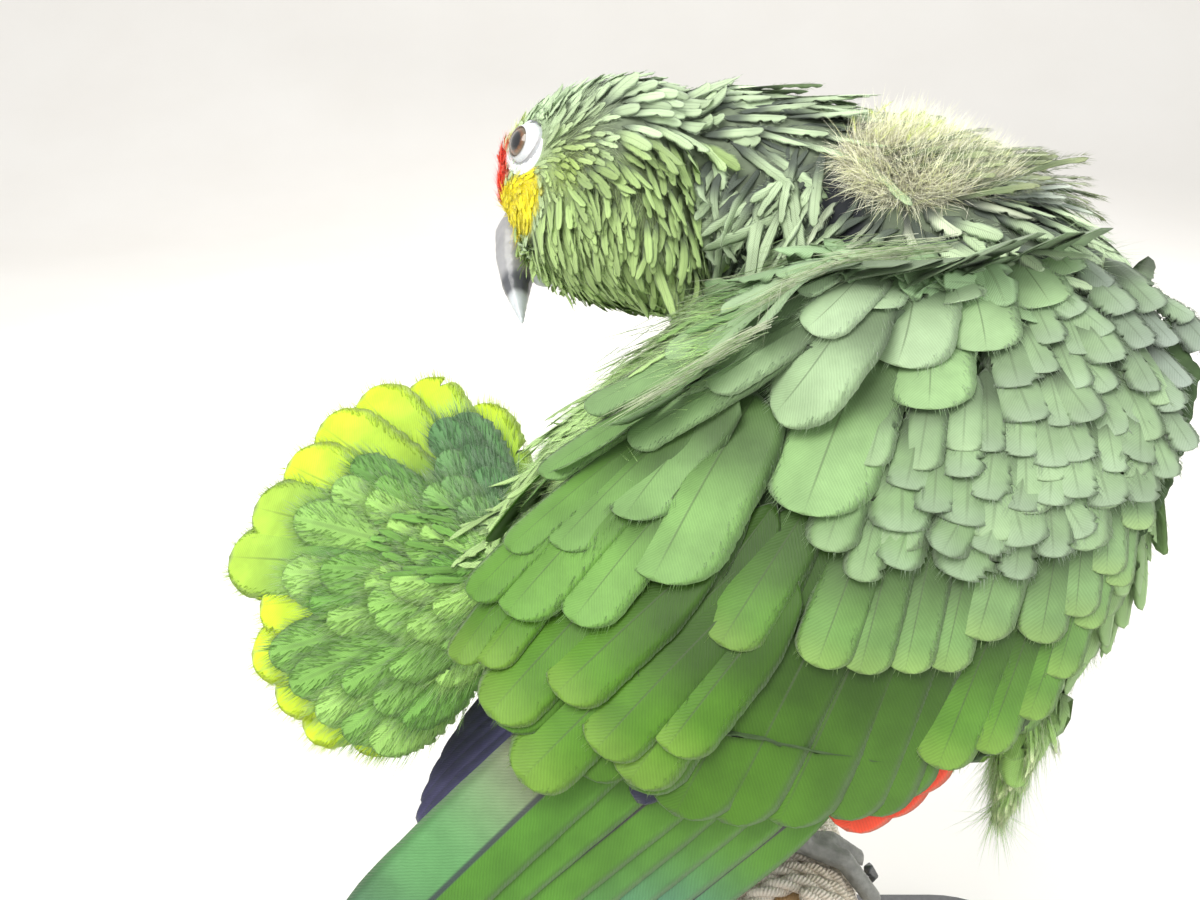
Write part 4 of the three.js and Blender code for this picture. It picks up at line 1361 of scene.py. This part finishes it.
def dress_tail():
    """Twelve rectrices in a fan, and rows of soft coverts over their bases."""
    plumes = Plumes()
    number = len(RECTRIX_SHARES)
    s = np.linspace(0, 1, number)
    angle = np.radians(FAN_START + FAN_SWEEP * s)
    outness = np.abs(2 * s - 1)
    length = TAIL_LENGTH * RECTRIX_SHARES
    lift = 5 - 0.55 * np.abs(np.arange(number) - (number - 1) / 2)

    def at(reach):
        far = length * reach
        droop = -0.0006 * far ** 2 - 6 * outness ** 2 * reach
        return TAIL.place(np.stack([np.cos(angle) * far, np.sin(angle) * far, lift + droop + 0.3], 1))

    curve = quadratic(at(0.06), at(0.53), at(1.0))
    normal = np.tile(TAIL.rows[2], (number, 1))
    green = np.isin(np.arange(number), GREENER).astype(float)
    tips = mix(np.tile(TAIL_LIME, (number, 1)), srgb(176, 214, 70), green)
    middle = mix(np.tile(mix(TAIL_GREEN, TAIL_LIME, 0.55), (number, 1)), srgb(104, 150, 76), green)
    plumes.add(curve, normal, normal * 0, 12.6, [srgb(80, 126, 56), middle, tips], widest=0.7, stem=0.2,
               tip=1.4, fray=0.06, split=0.03, camber=0.12, thick=0.4, shade=np.where(green > 0, 0.5, 0.72))
    plumes.build("tail_fan", 40, LARGE, "flight", ("rectrices",))
    plumes.fringe("tail_fan_barbs", 420, 3.2, TAIL_FEATHERS, 0.3, 26, width=0.09)

    coverts = Plumes()
    for reach, count, half, height in COVERT_ROWS:
        s = np.linspace(0, 1, count) + rng.normal(0, 0.02, count)
        angle = np.radians(COVERT_START + COVERT_SWEEP * s + rng.normal(0, 2, count))
        far = np.interp(s, np.linspace(0, 1, len(COVERT_REACH)), COVERT_REACH)
        far = far * reach * rng.uniform(0.95, 1.06, count)
        size = COVERT_LENGTH * (0.6 + 0.4 * reach)
        rows = []
        for step in (0.0, 0.5, 1.0):
            out = far - size * (1 - step)
            level = height * np.exp(-(out / 95) ** 2) - 4 * (2 * s - 1) ** 2 + (0.5 + 1.5 * step) - 1.5
            rows.append(TAIL.place(np.stack([np.cos(angle) * out, np.sin(angle) * out, level], 1)))
        tone = mix(srgb(112, 166, 74), srgb(166, 212, 112), rng.random(count))
        tone = mix(tone, srgb(88, 134, 92), ramp(s, 0.7, 0.95) * 0.8)
        normal = rolled(np.tile(TAIL.rows[2], (count, 1)), rows[2] - rows[0], rng.normal(0, 8, count))
        # the darker roots are painted shade where the coverts overlap
        coverts.add(quadratic(*rows), normal, normal * 0, half * rng.uniform(0.85, 1.15, count),
                    [tone * 0.5, tone * 0.9, tone], widest=0.6, stem=0.3, tip=1.5, fray=0.12, notch=0.15,
                    camber=0.4, thick=0.15)
    coverts.build("tail_coverts", 40, LARGE, "soft")
    coverts.fringe("tail_covert_barbs", 420, 4.6, TAIL_FEATHERS, 0.1, 22, 0.1, 0.09)


# ---------- tufts of the chin, the nape and the flank ----------
def tuft(name, places, ways, size, half, lift, tones, slot, barbs, shape):
    """Feathers grown from given places on the skin, with loose barbs along their edges."""
    count = len(places)
    root, face = skin.nearest(places)
    normal = skin.smooth_normals(face)
    way = unit(ways - np.sum(ways * normal, 1, keepdims=True) * normal)
    tilt = np.radians(lift + rng.normal(0, 6, count))[:, None]
    out = unit(way * np.cos(tilt) + normal * np.sin(tilt))
    end = root + out * size[:, None]
    middle = root + unit(out + normal * 0.12) * (size * 0.5)[:, None]
    plumes = Plumes()
    up = rolled(normal, out, rng.normal(0, 14, count))
    colours = [c * rng.uniform(0.8, 1.15, count)[:, None] for c in tones]
    plumes.add(quadratic(root, middle, end), up, up * 0, half, colours, camber=0.3, thick=0.12, **shape)
    plumes.build(name, 12, SMALL, "soft")
    per, reach, angle = barbs
    plumes.fringe(name + "_barbs", per, reach, slot, 0.25, angle)


# name, count, middle of the places or the ends of their line, spread, way as seen and
# its spread, lengths, half widths, lift, colours, slot, barbs, shape
TUFTS = [
    ("nape_plumes", 70, [(36, 22, 268)], (10, 7, 5), (-4, 9), (14, 24), (0.9, 1.7), 9,
     [srgb(80, 84, 70), srgb(108, 122, 86), srgb(156, 166, 124)], HEAD_PLUMAGE, (90, 5, 30),
     dict(fray=0.5, split=0.3, notch=0.5, tip=3)),
    ("nape_tufts", 150, [(36, 32, 280)], (9, 7, 3), (60, 30), (5, 9), (0.4, 0.7), 40,
     [DOWN_GREY, srgb(208, 214, 140), srgb(190, 206, 120)], HEAD_PLUMAGE, (26, 2.4, 34),
     dict(fray=0.5, split=0.3, tip=2)),
    ("bare_shafts", 8, [(42, 12, 262)], (5, 2, 2), (-6, 8), (16, 22), (1.2,), 8,
     [srgb(60, 66, 72), srgb(120, 130, 120), srgb(196, 206, 190)], HEAD_PLUMAGE, (70, 5, 60),
     dict(fray=0.4, tip=3)),
    ("flank_plumes", 70, [(57, -26, 150), (47, -30, 120)], (6, 4, 2), (-97, 7), (8, 13), (0.8, 1.5), 7,
     [srgb(136, 180, 88), srgb(178, 220, 126), srgb(230, 240, 192)], PLUMAGE, (70, 5, 20),
     dict(fray=0.5, split=0.2, tip=3)),
]


def dress_tufts():
    """The fluffed chin over the lower half of the bill, the torn nape over the down,
    and the plumes that hang from the flank."""
    count = 420
    side = np.where(rng.random(count) < 0.5, -1, 1)
    spots = np.stack([rng.uniform(5, 17.5, count), side * rng.uniform(4, 11, count),
                      rng.uniform(-30, -14, count)], 1)
    ways = np.stack([rng.normal(0.3, 0.1, count), rng.normal(0, 0.12, count) - 0.15 * side,
                     -np.ones(count)], 1)
    tuft("chin_tuft", HEAD.place(spots), HEAD.turn(ways), rng.uniform(5, 9, count),
         rng.uniform(0.7, 1.2, count), 16, [THROAT * 0.5, THROAT, THROAT * 1.15], HEAD_PLUMAGE, (10, 1.4, 30),
         dict(fray=0.4, split=0.2, tip=2))
    for name, count, middles, spread, heading, sizes, halves, *rest in TUFTS:
        spots = np.array(middles[0])
        if len(middles) > 1:
            down = rng.random(count)[:, None]
            spots = spots * (1 - down) + np.array(middles[1]) * down
        spots = spots + rng.normal(0, 1, (count, 3)) * spread
        ways = np.array([picture_way(d) for d in rng.normal(*heading, count)])
        size = rng.uniform(*sizes, count)
        half = rng.uniform(*halves, count) if len(halves) > 1 else np.full(count, halves[0])
        tuft(name, spots, ways, size, half, *rest)


# ---------- down and loose barbs ----------
def strands(name, roots, ways, ups, length, width, colours, slot, droop=0.0, bins=1):
    """Thin tapered three-sided barbs, in pieces under the limit of triangles. `bins`
    is the number of their parts, and `droop` bends them along the length."""
    for number, part in shares(len(roots), 6 * bins - 2):
        some = [q[part] for q in (roots, ways, ups, length, colours)]
        strand_piece(name + number, *some, width, slot, droop, bins)


def strand_piece(name, roots, ways, ups, length, colours, width, slot, droop, bins):
    count = len(roots)
    steps = np.linspace(0, 1, bins + 1)[:-1]
    side = unit(np.cross(ups, ways))
    rings = []
    for s in steps:
        bend = ups * (droop * length * s ** 2)[:, None]
        centre = roots + ways * (length * s)[:, None] + bend
        r = width * (1 - 0.75 * s)
        rings.append([centre + side * r, centre - side * r * 0.5 + ups * r * 0.6,
                      centre - side * r * 0.5 - ups * r * 0.6])
    rings = np.array(rings).transpose(2, 0, 1, 3).reshape(count, -1, 3)
    tips = roots + ways * length[:, None] + ups * (droop * length)[:, None]
    verts = np.concatenate([rings, tips[:, None]], 1)
    last = 3 * (bins - 1)
    tris = np.array([(2, 1, 0)] + [(last + j, last + (j + 1) % 3, 3 * bins) for j in range(3)])
    spots = 3 * bins + 1
    offset = (np.arange(count) * spots)[:, None, None]
    faces = [(f[None] + offset).reshape(-1, f.shape[1]) for f in (band(bins, 3), tris)]
    along_s = np.concatenate([np.repeat(steps, 3), [1.0]])
    rel = np.stack([np.broadcast_to(along_s, (count, spots)), np.zeros((count, spots))], -1)
    bake = skin.uv_at(roots)[:, None] + PATCH * (rel * 2 - 1) * np.array([1, 0])
    mesh = build_mesh(name, verts.reshape(-1, 3), faces, np.repeat(colours, spots, 0),
                      {"OFBake": bake.reshape(-1, 2), "rel": rel.reshape(-1, 2)})
    settle(link(name, mesh), MATERIALS["strand"])


def fuzz(name, weight, count, length, lift, width, slot, spread, gain=1.0, tones=None, bins=1):
    """Loose barbs that grow from the skin and lie with the coat."""
    points, normals, corner = skin.sample(count, weight)
    label = skin.labels[corner]
    way = lie_of_coat(points, normals, label)
    tilt = np.radians(lift + rng.normal(0, 7, count))[:, None]
    ways = unit(way * np.cos(tilt) + normals * np.sin(tilt) + rng.normal(0, spread, (count, 3)))
    if tones is None:
        colours = markings(points, label) * gain * rng.uniform(0.7, 1.25, count)[:, None]
    else:
        colours = mix(np.tile(tones[0], (count, 1)), tones[1], rng.random(count) ** 1.5)
    size = rng.uniform(length * 0.6, length * 1.25, count)
    strands(name, points, ways, normals, size, width, colours, slot, -0.05, bins)


def dress_loose():
    def face(points, label):
        x = HEAD.local(points)[:, 0]
        return (label == "head") * ramp(x, -26, -18) * ~bald(points)

    def flank(points, label):
        return (label == "trunk") * ramp(-points[:, 0], 0, 25) * ramp(points[:, 2], 150, 165)

    def down(points, label):
        return downy(points) * (label == "neck")

    def chest(points, label):
        return ((label == "trunk") | (label == "neck")) * ramp(points[:, 0], 52, 66)

    def belly(points, label):
        low = (label == "trunk") * ramp(-points[:, 2], -155, -140) * ramp(points[:, 0], -10, 10)
        return low + on_thigh(label)

    def flank_tuft(points, label):
        return (label == "trunk") * (points[:, 2] < 148) * ramp(points[:, 0], 30, 40)

    fuzz("face_fuzz", face, 16000, 4.6, 11, 0.08, HEAD_PLUMAGE, 0.2, 1.2)
    fuzz("back_fuzz", flank, 16000, 11, 12, 0.10, PLUMAGE, 0.17, 1.9)
    fuzz("rump_streaks", flank, 260, 13, 12, 0.10, PLUMAGE, 0.1,
         tones=(srgb(226, 232, 150), srgb(160, 194, 96)), bins=2)
    fuzz("down_deep", down, 7000, 8, 45, 0.09, HEAD_PLUMAGE, 0.7,
         tones=(DOWN * 1.2, srgb(176, 168, 132)), bins=2)
    fuzz("down_long", down, 3500, 11, 60, 0.10, HEAD_PLUMAGE, 0.4,
         tones=(DOWN * 1.25, BREAST * 1.1), bins=2)
    fuzz("breast_fluff", chest, 4000, 10, 28, 0.09, PLUMAGE, 0.25)
    fuzz("belly_fluff", belly, 8000, 14, 16, 0.09, PLUMAGE, 0.15)
    fuzz("flank_fluff", flank_tuft, 6000, 12, 9, 0.1, PLUMAGE, 0.1,
         tones=(srgb(186, 228, 134), srgb(240, 248, 214)))


# ---------- bill, eyes and rings ----------
def refine(name, nodes, voxel, smoothing, tint, material, wobble=None):
    """A finer mesh over CAD nodes, with its colours and its relief."""
    mesh = remeshed(name, nodes, voxel, smoothing)
    points, normals = mesh_arrays(mesh)
    if wobble is not None:
        set_points(mesh, points + normals * wobble(points)[:, None])
    set_tint(mesh, tint(points))
    piece = link(name, mesh)
    return settle(piece, material, nodes)


def bill_tint(points):
    at = HEAD.local(points)
    x, z = at[:, 0], at[:, 2]
    colour = np.tile(srgb(158, 158, 160), (len(points), 1))
    colour = mix(colour, srgb(58, 62, 70), ramp(-z, 18, 21) * (1 - ramp(-z, 24, 26)) * 0.8)
    colour = mix(colour, srgb(206, 212, 216), ramp(-z, 24, 27))
    colour = mix(colour, srgb(200, 196, 180), ramp(-x, -15, -11) * ramp(z, -12, -6) * 0.5)
    return colour


def bill_wobble(points):
    at = HEAD.local(points)
    lines = np.sin(at[:, 2] * 2.4 + np.sin(at[:, 0] * 0.8) * 1.2)
    cere = 0.5 * np.exp(-((at[:, 0] - 14.5) / 2.2) ** 2) * ramp(at[:, 2], -9, -5)
    nostril = -1.1 * np.exp(-((at[:, 0] - 15) / 1.3) ** 2 - ((np.abs(at[:, 1]) - 5) / 1.3) ** 2
                            - ((at[:, 2] - 1.2) / 1.6) ** 2)
    return 0.05 * lines + cere + nostril


def make_eye(side):
    """One eyeball; `side` is 1 for the left eye, -1 for the right. Its axes come
    back for the ring around it."""
    seat = HEAD.place((0, side * EYE_OUT, 0))
    out = HEAD.rows[1] * side
    name = "left" if side > 0 else "right"
    look = unit(out + EYE_FORWARD * HEAD.rows[0])
    rings, around = 24, 40
    theta = np.linspace(0, math.pi, rings)[:, None]
    phi = np.linspace(0, 2 * math.pi, around, endpoint=False)[None]
    e1 = unit(np.cross(HEAD.rows[2], look))
    e2 = np.cross(look, e1)
    radius = EYE_BALL + 0.3 * np.exp(-(theta / 0.5) ** 2)
    points = (seat + radius[..., None] * (np.cos(theta)[..., None] * look
              + (np.sin(theta) * np.cos(phi))[..., None] * e1
              + (np.sin(theta) * np.sin(phi))[..., None] * e2)).reshape(-1, 3)
    th = np.broadcast_to(theta, (rings, around)).ravel()
    ph = np.broadcast_to(phi, (rings, around)).ravel()
    iris = srgb(126, 84, 50)
    spokes = 0.85 + 0.25 * np.sin(ph * 23) * np.sin(ph * 7 + 1)
    colour = np.tile(iris, (len(th), 1)) * spokes[:, None]
    colour = mix(colour, srgb(112, 108, 88), ramp(th, 0.62, 0.72))
    colour = mix(colour, srgb(6, 6, 8), 1 - ramp(th, 0.48, 0.53))
    colour = mix(colour, srgb(52, 48, 44), ramp(th, 0.74, 0.84))
    mesh = build_mesh(f"eyeball_{name}", points, [band(rings, around)[:, [0, 3, 2, 1]]], colour)
    face_outward(mesh, 1e-7)
    eyeball = link(f"eyeball_{name}", mesh)
    material = tinted_material(f"eye_{name}", 700, 0.00002, 0.14, 0.15, Coat_Weight=1.0, Coat_Roughness=0.03)
    settle(eyeball, material, (f"eye_{name}",))
    return seat, look, e1, e2, name


def make_eye_ring(seat, look, e1, e2, name):
    """The bare white ring, creased in rings and rays, with a lid around the eye."""
    around, rows = 96, 22
    phi = np.linspace(0, 2 * math.pi, around, endpoint=False)
    opening = np.stack([4.1 * np.cos(phi), 4.0 * np.sin(phi)], 1)
    toward = -1.0 if name == "left" else 1.0
    outer_edge = np.stack([6.7 * np.cos(phi) + 0.4 * toward, 8.9 * np.sin(phi) - 1.0], 1)
    lines = []
    for i in range(rows):
        s = i / (rows - 1)
        flat = opening * (1 - s) + outer_edge * s
        r = np.linalg.norm(flat, axis=1)
        base = seat + flat[:, :1] * e1 + flat[:, 1:] * e2
        ball = np.sqrt(np.clip((EYE_BALL + 0.35) ** 2 - r ** 2, 0, None))
        lid = ball + 0.15 + 0.3 * math.sin(math.pi * min(1, s * 4)) * (s < 0.25)
        top = base + look * 12
        hits = [skin.tree.ray_cast(Vector(p), Vector(-look)) for p in top]
        under = np.array([12 - h[3] if h[0] is not None else 2.0 for h in hits])
        share = ramp(np.array([s]), 0.0, 1.0)[0]
        crease = 0.06 * math.sin(s * 46) + 0.05 * np.sin(phi * 30 + 3 * s)
        height = lid * (1 - share) + (under + 0.9 * (1 - s) ** 0.6) * share
        over_ball = np.sqrt(np.clip((EYE_BALL + 0.3) ** 2 - r ** 2, 0, None))
        height = np.maximum(height, under + 0.35)
        height = np.where(r < EYE_BALL + 0.3, np.maximum(height, over_ball), height)
        height = height + crease * (0.3 + 0.7 * share)
        lines.append(base + look * height[:, None])
    rings = np.array([lines[0] - look * 1.5] + lines + [lines[-1] - look * 1.6])
    s_all = np.repeat(np.concatenate([[0], np.linspace(0, 1, rows), [1]]), around)
    colour = np.tile(srgb(238, 238, 240), (len(s_all), 1))
    colour = mix(colour, srgb(120, 116, 112), 1 - ramp(s_all, 0.0, 0.09))
    faces = [band(len(rings), around, closed=True)]
    mesh = build_mesh(f"eye_ring_{name}", rings.reshape(-1, 3), faces, colour)
    face_outward(mesh)
    material = tinted_material(f"ring_skin_{name}", 900, 0.0001, 0.55, 0.1, Subsurface_Weight=0.1)
    settle(link(f"eye_ring_{name}", mesh), material)


def plain(*values):
    """One colour all over."""
    return lambda points: np.tile(srgb(*values), (len(points), 1))


# ---------- perch and floor ----------
def make_bar():
    """A turned wooden bar with softened ends and a faint ripple where the rope leaves it bare."""
    around, rows = 72, 90
    inner = PERCH_HALF - 1.5
    y = np.concatenate([[-PERCH_HALF] * 2, np.linspace(-inner, inner, rows - 4), [PERCH_HALF] * 2])
    r = np.full(rows, BAR_RADIUS - 0.25)
    r[[0, -1]] = 0.02
    r[[1, -2]] = BAR_RADIUS - 1.5
    phi = np.linspace(0, 2 * math.pi, around, endpoint=False)
    wave = 0.12 * np.sin(3 * phi[None] + y[:, None] * 0.05) + 0.08 * np.sin(7 * phi[None] - y[:, None] * 0.13)
    covered = (np.abs(y) < ROPE_HALF)[:, None]
    radius = r[:, None] + wave * ~covered * (r > 2)[:, None]
    points = np.stack([radius * np.sin(phi), np.broadcast_to(y[:, None], radius.shape),
                       PERCH_Z + radius * np.cos(phi)], -1).reshape(-1, 3)
    caps = [tuple(range(around)), tuple(reversed(range((rows - 1) * around, rows * around)))]
    mesh = build_mesh("perch_wood", points, [band(rows, around), np.array(caps)])
    face_outward(mesh)
    settle(link("perch_wood", mesh), wood_material(), ("perch_bar",))


def make_rope():
    """Three strands twisted together and wound round the bar in close turns."""
    pitch = 2 * ROPE_HALF / ROPE_TURNS
    radius = BAR_RADIUS + ROPE_RADIUS
    samples = ROPE_TURNS * 78
    s = np.linspace(0, 1, samples)
    angle = 2 * math.pi * ROPE_TURNS * s
    start = -ROPE_HALF + pitch / 2
    y = start + (2 * ROPE_HALF - pitch) * s
    centre = np.stack([radius * np.sin(angle), y, PERCH_Z + radius * np.cos(angle)], 1)
    ahead = unit(np.gradient(centre, axis=0))
    out = unit(np.stack([np.sin(angle), np.zeros(samples), np.cos(angle)], 1))
    side = np.cross(ahead, out)
    sides = 8
    length = s * ROPE_TURNS * 2 * math.pi * radius
    material = rope_material()
    phi = np.linspace(0, 2 * math.pi, sides, endpoint=False)
    ends = np.stack([np.arange(sides)[::-1], (samples - 1) * sides + np.arange(sides)])
    verts, quads, caps, rel = [], [], [], []
    for strand in range(3):
        twist = 2 * math.pi * (length / 15 + strand / 3)
        core = centre + STRAND_OUT * (np.cos(twist)[:, None] * out + np.sin(twist)[:, None] * side)
        ring = np.cos(phi)[None, :, None] * out[:, None] + np.sin(phi)[None, :, None] * side[:, None]
        ring = ring * STRAND_RADIUS
        offset = strand * samples * sides
        verts.append((core[:, None] + ring).reshape(-1, 3))
        quads.append(band(samples, sides) + offset)
        caps.append(ends + offset)
        rel.append(np.stack([np.repeat(length / 4, sides), np.tile(phi / (2 * math.pi), samples)], 1))
    verts, quads, caps, rel = (np.concatenate(q) for q in (verts, quads, caps, rel))
    mesh = build_mesh("perch_rope", verts, [quads, caps], uvs={"rel": rel})
    settle(link("rope_turns", mesh), material, ("perch_rope",))


def make_floor():
    """A pale floor just under the stand that curves up into a wall behind it."""
    half_width, front, back, top, low, bend = 3000, -2500.0, 1900, 1600, -0.3, 700
    profile = [(front, low)]
    profile += [(back - bend + bend * math.sin(t), low + bend * (1 - math.cos(t)))
                for t in np.linspace(0, math.pi / 2, 24)]
    profile.append((float(back), float(top)))
    verts = [(x, y, z) for y, z in profile for x in (-half_width, half_width)]
    quads = [(2 * i, 2 * i + 1, 2 * i + 3, 2 * i + 2) for i in range(len(profile) - 1)]
    floor = link("floor", build_mesh("floor", verts, [np.array(quads)]))
    floor.data.materials.append(floor_material())


# ---------- everything together ----------
def colour_skin():
    """Darker under the feathers than the feathers as painted shade, with painted shadow where the neck's
    feathers part, and plain where it is bare.
    """
    tone = markings(skin.points, skin.labels)
    on_face = (skin.labels == "head") & (HEAD.local(skin.points)[:, 0] > FACE_FROM)
    bare = np.clip(downy(skin.points) + on_face, 0, 1)
    # painted shade under the coat, mixed with a little of the skin's own grey
    under = mix(mix(tone * 0.4, SKIN_GREY, 0.25 * np.ones(len(tone))), tone * 0.75, bare)
    set_tint(skin.piece.data, mix(under, NECK_DARK * 0.6, np.clip(dark_gap(skin.points), 0, 1)))
    settle(skin.piece, tinted_material("skin_under_coat", 260, 0.0004, 0.8), FLESH)


def main():
    bpy.context.scene.view_settings.view_transform = "Standard"
    make_camera()
    make_lights()
    make_floor()
    colour_skin()
    dress_body()
    dress_tail()
    for side in SIDES:
        dress_wing(side)
    dress_loose()
    dress_tufts()

    horn = tinted_material("bill_horn", 220, 0.00008, 0.35, 0.16, Coat_Weight=0.2)
    refine("bill_top", ("bill_upper",), 0.45, 5, bill_tint, horn, bill_wobble)
    refine("bill_bottom", ("bill_lower",), 0.5, 5, bill_tint, horn, bill_wobble)
    for side in (1, -1):
        make_eye_ring(*make_eye(side))
    scaly = tinted_material("foot_scales", 420, 0.0005, 0.6, 0.3)
    nail = tinted_material("claw_horn", 300, 0.0001, 0.3, 0.2)
    for side in SIDES:
        refine(f"toes_{side}", (f"foot_{side}",), 0.6, 4, plain(132, 132, 126), scaly)
        for place in ("inner_front", "outer_front", "inner_back", "outer_back"):
            refine(f"nail_{side}_{place}", (f"claw_{side}_{place}",), 0.3, 3, plain(70, 72, 72),
                   nail)
    make_bar()
    make_rope()
    paint = stand_material()
    for node in ("stand_rod", "stand_base"):
        frame["nodes"][node].data.materials.clear()
        frame["nodes"][node].data.materials.append(paint)


main()
